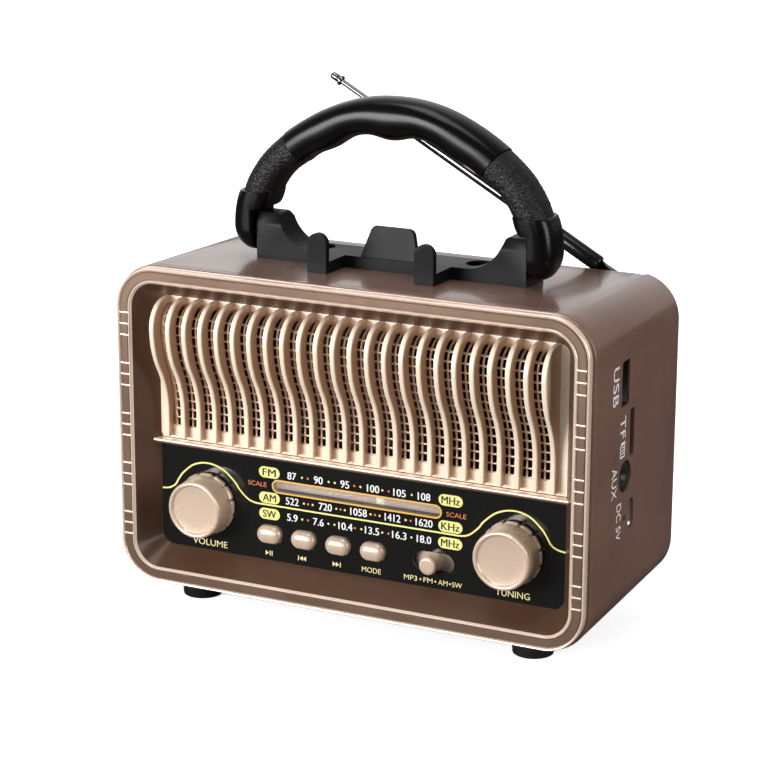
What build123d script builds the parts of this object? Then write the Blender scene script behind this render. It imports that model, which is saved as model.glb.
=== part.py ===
from build123d import *
import math
import os

# Retro portable radio with a carrying handle and a phone holder on top.
#
# Everything is drawn in cabinet coordinates, in millimetres:
#   x to the right of the middle, y backwards from the front face of the bezel,
#   z upwards from the bottom edge of the bezel.
# export() then moves each piece so that the origin of the finished part is on the
# table, under the middle of the whole object (x right, -y front, +z up).

# ---- Driving dimensions ---------------------------------------------------------

# Cabinet and bezel
BEZEL_W = 150.0            # outer width of the bezel
BEZEL_H = 96.6             # outer height of the bezel
BEZEL_R = 12.4             # outer corner radius of the bezel
FLANGE_T = 1.9             # thickness of the bezel's flat flange
LIP_W, LIP_H, LIP_R = 140.8, 88.0, 8.0          # opening at the front of the recess
FLOOR_W, FLOOR_H, FLOOR_R = 131.2, 77.4, 3.3    # opening at the floor of the recess
LIP_Z = 48.3               # middle height of both openings
RECESS = 8.5               # depth of the recess
CAB_HALF_W = 75.9
CAB_R = 13.0
CAB_FRONT, CAB_REAR = 2.1, 65.8
CAB_FRONT_Z = (-0.4, 97.1)   # bottom and top of the cabinet at its front edge
CAB_REAR_Z = (1.9, 95.3)     # bottom and top at its rear edge: the moulding tapers
RIM_REAR = 68.0            # rim behind the cover, open along the top where the antenna rests
RIM_OPEN = 64.9            # half the width of that opening
WALL = 2.4
SKIRT_END = 13.0           # how far the bezel's skirt reaches into the cabinet
PLATE_T = 2.0              # thickness of the grille baffle and of the dial plate
PLATE_W, PLATE_H, PLATE_R = 137.0, 85.4, 6.4
RAIL_Z = 42.3              # height of the divider rail between grille and dial
COVER_FRONT = CAB_REAR - 2.0
DOOR_W, DOOR_H, DOOR_Z = 84.0, 26.0, 22.0
VENT_ROWS, VENT_W, VENT_H, VENT_Z, VENT_PITCH = 5, 44.0, 2.0, 62.0, 5.0
SCREW_R = 1.5
HEAD_R, HEAD_SINK = 2.8, 1.4   # screw head, and how deep it sits below the cover
POST_R, POST_SPLIT = 3.5, 45.0     # screw posts, and where front and rear posts meet
SCREW_X, SCREW_Z = 69.4, (12.5, 84.7)

# Grille
FINS = 24
FIN_PITCH = 5.41
FIN_T = 1.5
FIN_NOSE = -2.0            # most forward point of a fin
FIN_FOOT = 6.0             # front of a fin along its straight lower part
FIN_Z0, FIN_Z1, FIN_Z2, FIN_Z3 = 44.1, 52.0, 79.0, 87.0
MESH_W, MESH_Z0, MESH_Z1 = 125.0, 47.0, 85.0
MESH_FOOT = 8.95           # front of the perforated sheet along its straight lower part
MESH_NOSE = 2.1            # front of the sheet where it bulges forward most
MESH_T = 0.8
HOLE_PITCH_X, HOLE_PITCH_Z, MESH_BAR = FIN_PITCH / 3, 2.71, 0.42

# Dial and controls
KNOB_X, KNOB_Z = 49.7, 24.5
KNOB_FRONT, KNOB_BACK = -0.6, 8.2
KNOB_R_FRONT, KNOB_R_BACK = 8.7, 9.4
KNOB_RIM = 1.7             # width of the raised, half-round rim of the face
KNOB_NOTCHES = 12
KNOB_BORE = 6.6            # depth of the blind hole for the shaft
SHAFT_R = 3.0
RUNNING = 0.05             # radial clearance of everything that turns or slides on a shaft
BUTTON_X = {"play_button": -28.65, "previous_button": -17.25, "next_button": -5.85,
            "mode_button": 5.55}
BUTTON_W, BUTTON_H, BUTTON_Z, BUTTON_FRONT = 8.2, 5.6, 17.7, 6.2
SLOT_X, SLOT_Z, SLOT_W, SLOT_H = 24.8, 17.55, 13.2, 5.9
PEG_R, PEG_FRONT = 2.75, 4.0
WINDOW_X, WINDOW_Z, WINDOW_W, WINDOW_H = -0.3, 32.9, 54.8, 3.6
POINTER_X = 6.3
BOARD_Y = 20.0             # front face of the control board
DRUM_R = 9.0               # radius of the cord on the tuning drum
CORD_R = 0.3
CORD_Y = 12.5
BEND_R = 3.0               # radius of the cord round a guide post
POST_LEFT = (-44.0, 33.6)  # guide post at the far end of the cord's loop
POST_UP = (40.2, 33.6)     # guide post for the upper run of the cord
POST_DOWN = (35.5, 27.6)   # guide post for the lower run
RAIL_ROD_R, RAIL_ROD_Y, RAIL_ROD_Z = 0.8, 13.0, 39.3

# Sockets in the right-hand wall: (y, z) of each centre
USB_AT, USB_SIZE = (24.9, 73.4), (5.65, 13.2)
CARD_AT, CARD_SIZE = (30.9, 57.8), (3.2, 14.0)
AUX_AT, AUX_R = (26.25, 45.8), 4.7
CHARGE_AT, CHARGE_SIZE = (31.65, 33.2), (4.1, 9.4)
LED_AT, LED_R = (26.7, 33.2), 0.9
SOCKET_BOARD_X, BOARD_T = 62.4, 1.6

# Loudspeaker
SPEAKER_Z, SPEAKER_R = 66.0, 23.8
CONE_R, COIL_R = 19.6, 6.6     # outer radii of the paper cone and of its voice coil
MAGNET_R = 16.0

# Rechargeable cell and ferrite antenna
CELL_R, CELL_L, CELL_Y, CELL_Z = 9.2, 65.0, 52.5, 22.0
FERRITE_R, FERRITE_Y, FERRITE_Z = 4.0, 56.0, 84.0

# Phone holder and handle on top
TRAY_FRONT, TRAY_REAR, TRAY_TOP = 28.5, 41.5, 100.0
TOWER_X0, TOWER_X1 = 24.5, 43.5
TOWER_REAR, TOWER_TOP, TOWER_CHAMFER_Z = 38.3, 110.0, 106.7
TRAY_SCREW_X = 33.0
FLOOR_HOLE_X, FLOOR_HOLE_Y, FLOOR_HOLE_R = 25.5, 36.4, 3.9
FINGER_X, FINGER_W, FINGER_TOP = 17.1, 6.1, 108.4
FINGER_FRONT, FINGER_T = 16.5, 2.1
REST_TOP, REST_HALF_W0, REST_HALF_W1, REST_T = 109.5, 9.2, 6.4, 2.2
REST_LEAN = 14.0
PIVOT_Y, PIVOT_Z = 33.4, 105.5
PIN_R, PIN_START = 2.0, 38.0
HANDLE_D = 14.0            # front-to-back depth of the handle
HANDLE_T = 9.6             # its thickness across the arch
CAP_IN, CAP_OUT, CAP_R = 44.3, 51.4, 7.5
CAP_TOP, CAP_LEDGE, CAP_REACH = 115.3, 111.2, 39.0   # collar over the tower
SEAM = (32.2, 130.0)       # where the smooth grip meets a sleeve
SEAM_ANGLE = 40.0          # slope of the arch there, below horizontal

# Telescopic antenna behind the top right corner
ANT_X, ANT_Y, ANT_Z = 61.6, 69.0, 89.0
ANT_ANGLE = 29.5           # above horizontal, leaning to the left
ANT_BASE_R, ANT_SLEEVE_R, ANT_R1, ANT_R2, ANT_R3 = 1.55, 2.5, 1.4, 1.07, 0.8
ANT_WALL = 0.25
ANT_BASE_END, ANT_SLEEVE_END, ANT_TUBE_END, ANT_ROD_END = 13.5, 31.0, 101.0, 112.0
SWIVEL_STEM_R = 1.3

# Feet
FOOT_X, FOOT_Y, FOOT_H = 54.6, (13.0, 53.0), 6.3
FOOT_R0, FOOT_R1 = 5.9, 6.4

# The front is FIN_NOSE and the rearmost point is the antenna's sleeve.
ORIGIN_Y = (FIN_NOSE + ANT_Y + ANT_SLEEVE_R) / 2
ORIGIN_SHIFT = Location((0, -ORIGIN_Y, FOOT_H))


# ---- Helpers --------------------------------------------------------------------

def block(x0, x1, y0, y1, z0, z1):
    middle = ((x0 + x1) / 2, (y0 + y1) / 2, (z0 + z1) / 2)
    return Pos(*middle) * Box(x1 - x0, y1 - y0, z1 - z0)


def upright(sketch, y_front, y_back):
    """Solid of a front-view sketch (x, z) between two depths."""
    return extrude(Plane.XZ.offset(-y_back) * sketch, y_back - y_front, dir=(0, -1, 0))


def sideways(sketch, x0, x1):
    """Solid of a side-view sketch (y, z) between two widths."""
    return extrude(Plane.YZ.offset(x0) * sketch, x1 - x0, dir=(1, 0, 0))


def rounded(width, height, radius, x=0.0, z=0.0):
    return Pos(x, z) * RectangleRounded(width, height, radius)


def stadium(width, height, x=0.0, z=0.0):
    """Slot shape, longer along its first side."""
    return Pos(x, z) * SlotOverall(width, height)


def disc_y(radius, y0, y1, x, z):
    """Round bar along y."""
    return upright(Pos(x, z) * Circle(radius), y0, y1)


def disc_x(radius, x0, x1, y, z):
    """Round bar along x."""
    return sideways(Pos(y, z) * Circle(radius), x0, x1)


def both_sides(shape):
    """The shape and its mirror image about the middle plane."""
    return [shape, mirror(shape, Plane.YZ)]


def group(shapes):
    """Separate solids that share one node."""
    return Compound(children=[solid for shape in shapes for solid in shape.solids()])


def export(shape, node):
    export_step(ORIGIN_SHIFT * shape, f"parts/{node}.step")


# ---- Casing ---------------------------------------------------------------------

def cabinet_section(y, inset):
    """Outline of the cabinet at a depth, made smaller by inset."""
    share = (y - CAB_FRONT) / (CAB_REAR - CAB_FRONT)
    low = CAB_FRONT_Z[0] + share * (CAB_REAR_Z[0] - CAB_FRONT_Z[0]) + inset
    high = CAB_FRONT_Z[1] + share * (CAB_REAR_Z[1] - CAB_FRONT_Z[1]) - inset
    outline = rounded(2 * (CAB_HALF_W - inset), high - low, CAB_R - inset, 0, (low + high) / 2)
    return Plane.XZ.offset(-y) * outline


def cabinet_block(y0, y1, inset=0.0):
    return loft([cabinet_section(y0, inset), cabinet_section(y1, inset)])


def recess_block(y0, y1, grow=0.0):
    """The funnel between the bezel's lip and the floor of the recess."""
    sections = []
    for y in (y0, y1):
        share = y / RECESS
        width = LIP_W + share * (FLOOR_W - LIP_W) + 2 * grow
        height = LIP_H + share * (FLOOR_H - LIP_H) + 2 * grow
        radius = LIP_R + share * (FLOOR_R - LIP_R) + grow
        sections.append(Plane.XZ.offset(-y) * rounded(width, height, radius, 0, LIP_Z))
    return loft(sections)


def screw_places():
    return [(side * SCREW_X, z) for side in (-1, 1) for z in SCREW_Z]


def upright_slot(margin):
    """Outline of the charging socket, made smaller by margin."""
    return Rot(0, 0, 90) * SlotOverall(CHARGE_SIZE[1] - margin, CHARGE_SIZE[0] - margin)


def make_cabinet():
    shell = cabinet_block(CAB_FRONT, CAB_REAR) - cabinet_block(CAB_FRONT, CAB_REAR, WALL)
    rim = cabinet_block(CAB_REAR, RIM_REAR) - cabinet_block(CAB_REAR, RIM_REAR, WALL)
    shell += rim - block(-RIM_OPEN, RIM_OPEN, CAB_REAR, RIM_REAR, LIP_Z, 100)
    cuts = [
        sideways(Pos(*USB_AT) * Rectangle(*USB_SIZE), 70, 80),
        sideways(Pos(*CARD_AT) * Rectangle(*CARD_SIZE), 70, 80),
        disc_x(AUX_R, 70, 80, *AUX_AT),
        sideways(Pos(*CHARGE_AT) * upright_slot(0), 70, 80),
        disc_x(LED_R, 70, 80, *LED_AT),
    ]
    for x in (-TRAY_SCREW_X, TRAY_SCREW_X):
        cuts.append(Pos(x, PIVOT_Y, 90) * Cylinder(SCREW_R + 0.1, 20))
    return shell - cuts


def make_front_bezel():
    flange = upright(rounded(BEZEL_W, BEZEL_H, BEZEL_R, 0, BEZEL_H / 2), 0, FLANGE_T)
    flange = chamfer(flange.faces().sort_by(Axis.Y)[0].edges(), 0.5)
    skirt = cabinet_block(FLANGE_T, SKIRT_END, WALL + 0.15)
    bezel = flange + skirt
    hollow = cabinet_block(FLANGE_T, SKIRT_END, WALL + 1.95)
    hollow -= recess_block(0, RECESS, 1.6)
    bezel -= hollow
    bezel -= recess_block(0, RECESS)
    bezel -= upright(rounded(PLATE_W + 0.3, PLATE_H + 0.2, PLATE_R, 0, LIP_Z), RECESS, SKIRT_END)
    for x, z in screw_places():
        bezel += disc_y(POST_R, RECESS + PLATE_T + 0.1, POST_SPLIT, x, z)
    for x, z in screw_places():
        bezel -= disc_y(SCREW_R, POST_SPLIT - 14, POST_SPLIT, x, z)
    return bezel


def make_back_cover():
    cover = cabinet_block(COVER_FRONT, CAB_REAR, WALL + 0.2)
    for x, z in screw_places():
        cover += disc_y(POST_R, POST_SPLIT, COVER_FRONT, x, z)
    for x, z in screw_places():
        cover -= disc_y(SCREW_R + 0.1, POST_SPLIT, CAB_REAR, x, z)
        cover -= disc_y(HEAD_R + 0.1, CAB_REAR - HEAD_SINK, CAB_REAR, x, z)
    cover -= upright(rounded(DOOR_W, DOOR_H, 2.0, 0, DOOR_Z), COVER_FRONT, CAB_REAR)
    for row in range(VENT_ROWS):
        vent = stadium(VENT_W, VENT_H, 0, VENT_Z + VENT_PITCH * row)
        cover -= upright(vent, COVER_FRONT, CAB_REAR)
    cover -= disc_y(SWIVEL_STEM_R + RUNNING, COVER_FRONT, CAB_REAR, ANT_X, ANT_Z)
    return cover


def make_battery_door():
    door = upright(rounded(DOOR_W - 0.4, DOOR_H - 0.4, 1.8, 0, DOOR_Z), COVER_FRONT, CAB_REAR)
    for row in range(4):
        door -= upright(stadium(16, 0.9, 0, DOOR_Z + 3.3 + 2 * row), CAB_REAR - 0.5, CAB_REAR)
    return door


def make_back_screws():
    screws = []
    for x, z in screw_places():
        head = disc_y(HEAD_R, CAB_REAR - HEAD_SINK, CAB_REAR - 0.2, x, z)
        shank = disc_y(SCREW_R, POST_SPLIT - 12, CAB_REAR - HEAD_SINK, x, z)
        cross = block(x - 1.6, x + 1.6, CAB_REAR - 0.8, CAB_REAR, z - 0.3, z + 0.3)
        cross += block(x - 0.3, x + 0.3, CAB_REAR - 0.8, CAB_REAR, z - 1.6, z + 1.6)
        screws.append(head + shank - cross)
    return group(screws)


def make_feet():
    standing = (Align.CENTER, Align.CENTER, Align.MIN)
    feet = []
    for x in (-FOOT_X, FOOT_X):
        for y in FOOT_Y:
            foot = Pos(x, y, -FOOT_H) * Cone(FOOT_R0, FOOT_R1, FOOT_H + 4, align=standing)
            foot = fillet(foot.edges().sort_by(Axis.Z)[0], 1.0)
            feet.append(foot - cabinet_block(CAB_FRONT, CAB_REAR))
    return group(feet)


# ---- Grille and dial ------------------------------------------------------------

def behind_wave(foot, nose, top, z0, back_y):
    """Side view of all that lies behind a wave: straight foot, S-shaped front, round crown."""
    middle = ((foot + nose) / 2, (FIN_Z1 + FIN_Z2) / 2)
    radius = top - FIN_Z2
    crown_y = nose + radius
    lower = TangentArc((foot, FIN_Z1), middle, tangent=(0, 1))
    upper = TangentArc((nose, FIN_Z2), middle, tangent=(0, -1))
    crown = TangentArc((nose, FIN_Z2), (crown_y, top), tangent=(0, 1))
    rest = Polyline((foot, FIN_Z1), (foot, z0), (back_y, z0), (back_y, top), (crown_y, top))
    return make_face([lower, upper, crown, rest])


def behind_mesh(depth, x):
    """All the space behind a surface that runs parallel to the front of the sheet."""
    profile = behind_wave(MESH_FOOT + depth, MESH_NOSE + depth, MESH_Z1 - depth, MESH_Z0 - 2, 12.0)
    return sideways(profile, -x, x)


def make_fins():
    """Row of wave-shaped fins; all but the two at the ends stop at the sheet behind them."""
    profile = behind_wave(FIN_FOOT, FIN_NOSE, FIN_Z3, FIN_Z0, RECESS + 0.35)
    fin = sideways(profile, -FIN_T / 2, FIN_T / 2)
    hollow = behind_mesh(-0.1, FIN_T) & block(-FIN_T, FIN_T, -5, 20, MESH_Z0, MESH_Z1)
    end = (FINS - 1) / 2
    places = [i - end for i in range(FINS)]
    return [Pos(n * FIN_PITCH) * (fin if abs(n) == end else fin - hollow) for n in places]


def make_grille():
    baffle_z0, baffle_z1 = RAIL_Z + 0.7, 91.0
    outline = rounded(PLATE_W, PLATE_H, PLATE_R, 0, LIP_Z)
    baffle = upright(outline, RECESS, RECESS + PLATE_T)
    baffle &= block(-80, 80, 0, 20, baffle_z0, baffle_z1)
    middle = (MESH_Z0 + MESH_Z1) / 2
    opening = Rectangle(MESH_W, MESH_Z1 - MESH_Z0)
    rebate = Rectangle(MESH_W + 2, MESH_Z1 - MESH_Z0 + 2)
    baffle -= upright(Pos(0, middle) * opening, RECESS, RECESS + 0.4)
    baffle -= upright(Pos(0, middle) * rebate, RECESS + 0.4, RECESS + PLATE_T)
    return baffle.fuse(*make_fins())


def make_speaker_mesh():
    """Perforated sheet bent to follow the fins; its top and bottom rims sit behind the baffle."""
    width = FIN_PITCH * (FINS - 1) - FIN_T - 0.1
    holes = []
    for column in range(-33, 34):
        for row in range(14):
            hole = Wire.make_rect(HOLE_PITCH_X - MESH_BAR, HOLE_PITCH_Z - MESH_BAR)
            holes.append(Pos(column * HOLE_PITCH_X, MESH_Z0 + (row + 0.5) * HOLE_PITCH_Z) * hole)
    middle = (MESH_Z0 + MESH_Z1) / 2
    outer = Pos(0, middle) * Wire.make_rect(MESH_W + 1.8, MESH_Z1 - MESH_Z0 + 1.8)
    back = MESH_FOOT + MESH_T
    perforated = upright(Face(outer, holes), MESH_NOSE - 1, back)
    bent = behind_mesh(0, width / 2) - behind_mesh(MESH_T, width)
    rim = block(-width / 2, width / 2, MESH_FOOT, back, MESH_Z1 - MESH_T, MESH_Z1 + 0.9)
    return perforated & (bent + rim)


def make_divider_rail():
    bar = block(-70, 70, 6.0, RECESS, RAIL_Z - 0.7, RAIL_Z + 0.7)
    bar = fillet(bar.edges().filter_by(Axis.X).group_by(Axis.Y)[0], 0.6)
    return bar & recess_block(0, RECESS, -0.05)


def make_dial_plate():
    outline = rounded(PLATE_W, PLATE_H, PLATE_R, 0, LIP_Z)
    plate = upright(outline, RECESS, RECESS + PLATE_T)
    plate &= block(-80, 80, 0, 20, 0, RAIL_Z + 0.6)
    back = RECESS + PLATE_T
    for x in (-KNOB_X, KNOB_X):
        plate -= disc_y(SHAFT_R + 0.5, RECESS, back, x, KNOB_Z)
    for x in BUTTON_X.values():
        plate -= upright(stadium(BUTTON_W + 0.3, BUTTON_H + 0.3, x, BUTTON_Z), RECESS, back)
    plate -= upright(stadium(SLOT_W, SLOT_H, SLOT_X, SLOT_Z), RECESS, back)
    plate -= upright(stadium(WINDOW_W, WINDOW_H, WINDOW_X, WINDOW_Z), RECESS, back)
    for side in (-1, 1):
        x0, x1 = sorted((side * 40.0, side * 43.0))
        ear = block(x0, x1, back, 15.0, RAIL_ROD_Z - 2, RAIL_ROD_Z + 2)
        ear -= disc_x(RAIL_ROD_R, x0, x1, RAIL_ROD_Y, RAIL_ROD_Z)
        plate += ear
    return plate


def make_dial_window():
    back = RECESS + PLATE_T
    lens = upright(stadium(WINDOW_W - 0.1, WINDOW_H - 0.1, WINDOW_X, WINDOW_Z), RECESS + 0.2, back)
    return lens + upright(stadium(WINDOW_W + 3, WINDOW_H + 1.2, WINDOW_X, WINDOW_Z), back, back + 0.5)


def make_dial_backing():
    return block(-32, 32, 15.2, 15.8, WINDOW_Z - 4, WINDOW_Z + 4)


def make_dial_pointer():
    bar = block(POINTER_X - 1.2, POINTER_X + 1.2, 11.3, 12.0, 31.4, 35.2)
    carriage = block(POINTER_X - 4, POINTER_X + 4, 11.3, 14.8, 35.2, 41.2)
    carriage -= disc_x(RAIL_ROD_R + RUNNING, -10, 20, RAIL_ROD_Y, RAIL_ROD_Z)
    cord_z = POST_LEFT[1] + BEND_R
    carriage -= block(-10, 20, CORD_Y - 0.5, CORD_Y + 0.5, cord_z - 0.5, cord_z + 0.5)
    return bar + carriage


def make_pointer_rail():
    return disc_x(RAIL_ROD_R, -44, 44, RAIL_ROD_Y, RAIL_ROD_Z)


# ---- Tuning drive ---------------------------------------------------------------

def make_tuning_drum():
    """Grooved wheel on the tuning shaft; the cord runs 0.1 mm clear of the groove."""
    floor = DRUM_R - CORD_R - 0.1
    wheel = disc_y(floor, CORD_Y - 1.1, CORD_Y + 1.1, KNOB_X, KNOB_Z)
    for y0 in (CORD_Y - 1.1, CORD_Y + 0.6):
        wheel += disc_y(DRUM_R + 0.7, y0, y0 + 0.5, KNOB_X, KNOB_Z)
    return wheel - disc_y(SHAFT_R, CORD_Y - 1.1, CORD_Y + 1.1, KNOB_X, KNOB_Z)


def make_cord_posts():
    """Smooth posts that the cord bends round, each with a rim that keeps it on."""
    posts = []
    for x, z in (POST_LEFT, POST_UP, POST_DOWN):
        post = disc_y(BEND_R - CORD_R - 0.1, CORD_Y - 1.1, BOARD_Y, x, z)
        posts.append(post + disc_y(BEND_R + 0.2, CORD_Y - 1.5, CORD_Y - 1.0, x, z))
    return group(posts)


def cord_tangent(centre0, radius0, centre1, radius1):
    """Ends of the straight run that touches two circles; radii are signed by side."""
    dx, dz = centre1[0] - centre0[0], centre1[1] - centre0[1]
    span = math.hypot(dx, dz)
    angle = math.atan2(dz, dx) + math.acos((radius0 - radius1) / span)
    across = (math.cos(angle), math.sin(angle))
    start = (centre0[0] + radius0 * across[0], centre0[1] + radius0 * across[1])
    end = (centre1[0] + radius1 * across[0], centre1[1] + radius1 * across[1])
    return start, end


def arc_middle(centre, radius, start, end):
    """Middle of the wrapped arc: clockwise on a positive radius, else the other way."""
    a0 = math.atan2(start[1] - centre[1], start[0] - centre[0])
    a1 = math.atan2(end[1] - centre[1], end[0] - centre[0])
    turn = (a0 - a1) % (2 * math.pi) if radius > 0 else -((a1 - a0) % (2 * math.pi))
    half = a0 - turn / 2
    return (centre[0] + abs(radius) * math.cos(half), centre[1] + abs(radius) * math.sin(half))


def make_dial_cord():
    """Endless cord: left post, upper post, round the drum, over the lower post and back."""
    wheels = [(POST_LEFT, BEND_R), (POST_UP, BEND_R), ((KNOB_X, KNOB_Z), DRUM_R),
              (POST_DOWN, -BEND_R)]
    runs = []
    for i, (centre, radius) in enumerate(wheels):
        next_centre, next_radius = wheels[(i + 1) % len(wheels)]
        runs.append(cord_tangent(centre, radius, next_centre, next_radius))
    edges = []
    for i, (start, end) in enumerate(runs):
        edges.append(Line(start, end))
        centre, radius = wheels[(i + 1) % len(wheels)]
        leave = runs[(i + 1) % len(runs)][0]
        middle = arc_middle(centre, radius, end, leave)
        edges.append(ThreePointArc(end, middle, leave))
    path = Plane.XZ.offset(-CORD_Y) * Wire(edges)
    section = Plane(origin=path @ 0, z_dir=path % 0) * Circle(CORD_R)
    return sweep(section, path)


def make_shaft(x, y_end):
    return disc_y(SHAFT_R, KNOB_BACK - KNOB_BORE, y_end, x, KNOB_Z)


def make_knob(x):
    """Drum knob with a raised rounded rim, a dished face and a notched foot."""
    depth = KNOB_BACK - KNOB_FRONT
    face = depth - KNOB_RIM / 2
    inner = KNOB_R_FRONT - KNOB_RIM
    side = Polyline((0, face), (0, 0), (KNOB_R_BACK, 0), (KNOB_R_BACK, 1.3),
                    (KNOB_R_BACK - 0.4, 1.7), (KNOB_R_FRONT, face))
    rim = ThreePointArc((KNOB_R_FRONT, face), (KNOB_R_FRONT - KNOB_RIM / 2, depth), (inner, face))
    profile = make_face([side, rim, Line((inner, face), (0, face))])
    knob = revolve(Plane.XZ * profile, Axis.Z)
    for i in range(KNOB_NOTCHES):
        turn = Rot(0, 0, 360 * (i + 0.5) / KNOB_NOTCHES)
        knob -= turn * Pos(KNOB_R_BACK, 0, 0.7) * Rot(0, 0, 45) * Box(0.9, 0.9, 1.4)
    knob -= Cylinder(SHAFT_R, KNOB_BORE, align=(Align.CENTER, Align.CENTER, Align.MIN))
    return Pos(x, KNOB_BACK, KNOB_Z) * Rot(90, 0, 0) * knob


def make_control(x, bush_front):
    """Rotary control on the board, with the bush that the shaft turns in."""
    body = block(x - 8, x + 8, 15.4, BOARD_Y, KNOB_Z - 9, KNOB_Z + 6)
    body += disc_y(4.5, bush_front, 15.4, x, KNOB_Z)
    return body - disc_y(SHAFT_R + RUNNING, bush_front, 18.2, x, KNOB_Z)


# ---- Buttons and band switch ----------------------------------------------------

def make_button(x):
    cap = upright(stadium(BUTTON_W, BUTTON_H, x, BUTTON_Z), BUTTON_FRONT, 11.6)
    front_edges = cap.edges().group_by(Axis.Y)[0]
    cap = fillet(front_edges, 1.6)
    flange = upright(stadium(BUTTON_W + 1.8, BUTTON_H + 1.8, x, BUTTON_Z), 10.55, 11.6)
    stem = disc_y(1.5, 11.6, 16.0, x, BUTTON_Z)
    return cap + flange + stem


def make_tact_switches():
    switches = []
    for x in BUTTON_X.values():
        body = block(x - 3, x + 3, 16.4, BOARD_Y, BUTTON_Z - 3, BUTTON_Z + 3)
        switches.append(body - disc_y(1.75, 16.4, 18.6, x, BUTTON_Z))
    return group(switches)


def make_band_slider():
    peg = disc_y(PEG_R, PEG_FRONT, 10.7, SLOT_X, SLOT_Z)
    peg = fillet(peg.edges().group_by(Axis.Y)[0], 0.9)
    shutter = block(SLOT_X - 10.6, SLOT_X + 10.6, 10.7, 11.5, SLOT_Z - 4.2, SLOT_Z + 4.2)
    lever = block(SLOT_X - 1, SLOT_X + 1, 11.5, 16.5, SLOT_Z - 1, SLOT_Z + 1)
    return peg + shutter + lever


def make_band_switch():
    body = block(SLOT_X - 9, SLOT_X + 9, 14.0, BOARD_Y, SLOT_Z - 3.4, SLOT_Z + 3.4)
    return body - block(SLOT_X - 4.8, SLOT_X + 4.8, 14.0, 17.0, SLOT_Z - 1.2, SLOT_Z + 1.2)


# ---- Boards, sockets and other electronics --------------------------------------

def make_control_board():
    return block(-61, 61, BOARD_Y, BOARD_Y + BOARD_T, 7, 41)


def make_board_components():
    back = BOARD_Y + BOARD_T
    pieces = [block(-6, 6, back, back + 1.8, 20, 32)]
    pieces.append(block(14, 20, back, back + 1.6, 22, 28))
    for x in (-34, -26, 26, 34):
        pieces.append(disc_y(2.5, back, back + 7, x, 14))
    for x in (-20, -13):
        pieces.append(block(x - 2.5, x + 2.5, back, back + 5, 30, 35))
    return group(pieces)


def make_socket_board():
    return block(SOCKET_BOARD_X, SOCKET_BOARD_X + BOARD_T, 16.5, 42, 25, 82)


def make_usb_socket():
    y, z = USB_AT
    face = SOCKET_BOARD_X + BOARD_T
    shell = sideways(Pos(y, z) * Rectangle(USB_SIZE[0] - 0.3, USB_SIZE[1] - 0.3), face, 75.4)
    shell -= sideways(Pos(y, z) * Rectangle(USB_SIZE[0] - 1.0, USB_SIZE[1] - 1.0), face + 4, 75.4)
    return shell + block(face + 4, 74.6, y - 2.3, y - 0.6, z - 5.2, z + 5.2)


def make_card_socket():
    y, z = CARD_AT
    face = SOCKET_BOARD_X + BOARD_T
    body = block(face, 73.4, y - 1.4, y + 1.4, z - 7.2, z + 7.2)
    return body - block(face + 2, 73.4, y - 0.5, y + 0.5, z - 6, z + 6)


def make_aux_jack():
    y, z = AUX_AT
    face = SOCKET_BOARD_X + BOARD_T
    body = block(face, 73.2, y - 5.5, y + 3.0, z - 4.7, z + 4.7)
    body += disc_x(AUX_R - 0.1, 73.2, 75.3, y, z)
    return body - disc_x(1.8, face + 1, 75.3, y, z)


def make_charge_socket():
    y, z = CHARGE_AT
    face = SOCKET_BOARD_X + BOARD_T
    shell = sideways(Pos(y, z) * upright_slot(0.3), face, 75.2)
    shell -= sideways(Pos(y, z) * upright_slot(1.0), face + 3, 75.2)
    return shell + block(face + 3, 74.4, y - 0.35, y + 0.35, z - 3.2, z + 3.2)


def make_charge_led():
    y, z = LED_AT
    return disc_x(LED_R - 0.05, SOCKET_BOARD_X + BOARD_T, 75.6, y, z)


def speaker_cone_block(y0, wide, narrow, depth):
    """Solid cone on the loudspeaker's axis, widest at the front."""
    forward = (Align.CENTER, Align.CENTER, Align.MIN)
    return Pos(0, y0, SPEAKER_Z) * Rot(-90, 0, 0) * Cone(wide, narrow, depth, align=forward)


def make_speaker_frame():
    y0 = RECESS + PLATE_T
    frame = disc_y(SPEAKER_R, y0, y0 + 1.5, 0, SPEAKER_Z)
    frame += speaker_cone_block(y0 + 1.5, SPEAKER_R - 1, 12, 13)
    frame -= speaker_cone_block(y0 + 1.5, SPEAKER_R - 2, 11, 12)
    frame -= disc_y(SPEAKER_R - 2, y0, y0 + 1.5, 0, SPEAKER_Z)
    return frame - disc_y(8.0, y0, y0 + 20, 0, SPEAKER_Z)


def make_speaker_cone():
    y0 = RECESS + PLATE_T + 2.2
    cone = speaker_cone_block(y0, CONE_R, COIL_R + 0.6, 8)
    cone -= speaker_cone_block(y0 - 0.6, CONE_R, COIL_R + 0.6, 8)
    coil = disc_y(COIL_R, y0 + 6, y0 + 15.5, 0, SPEAKER_Z)
    coil -= disc_y(COIL_R - 0.5, y0 + 7, y0 + 15.5, 0, SPEAKER_Z)
    return cone + coil


def make_speaker_magnet():
    y0 = RECESS + PLATE_T + 14.5
    ring = disc_y(MAGNET_R, y0, y0 + 8, 0, SPEAKER_Z)
    ring -= disc_y(COIL_R + 0.6, y0, y0 + 6, 0, SPEAKER_Z)
    return ring + disc_y(COIL_R - 1.0, y0, y0 + 6, 0, SPEAKER_Z)


def make_ferrite_rod():
    return disc_x(FERRITE_R, -40, 25, FERRITE_Y, FERRITE_Z)


def make_ferrite_coil():
    winding = disc_x(FERRITE_R + 1, -18, 0, FERRITE_Y, FERRITE_Z)
    return winding - disc_x(FERRITE_R, -18, 0, FERRITE_Y, FERRITE_Z)


def make_battery_holder():
    tray = block(-39, 39, 41.5, COVER_FRONT, CELL_Z - 12, CELL_Z + 12)
    return tray - block(-37.5, 37.5, 43, COVER_FRONT, CELL_Z - 10.5, CELL_Z + 10.5)


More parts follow.
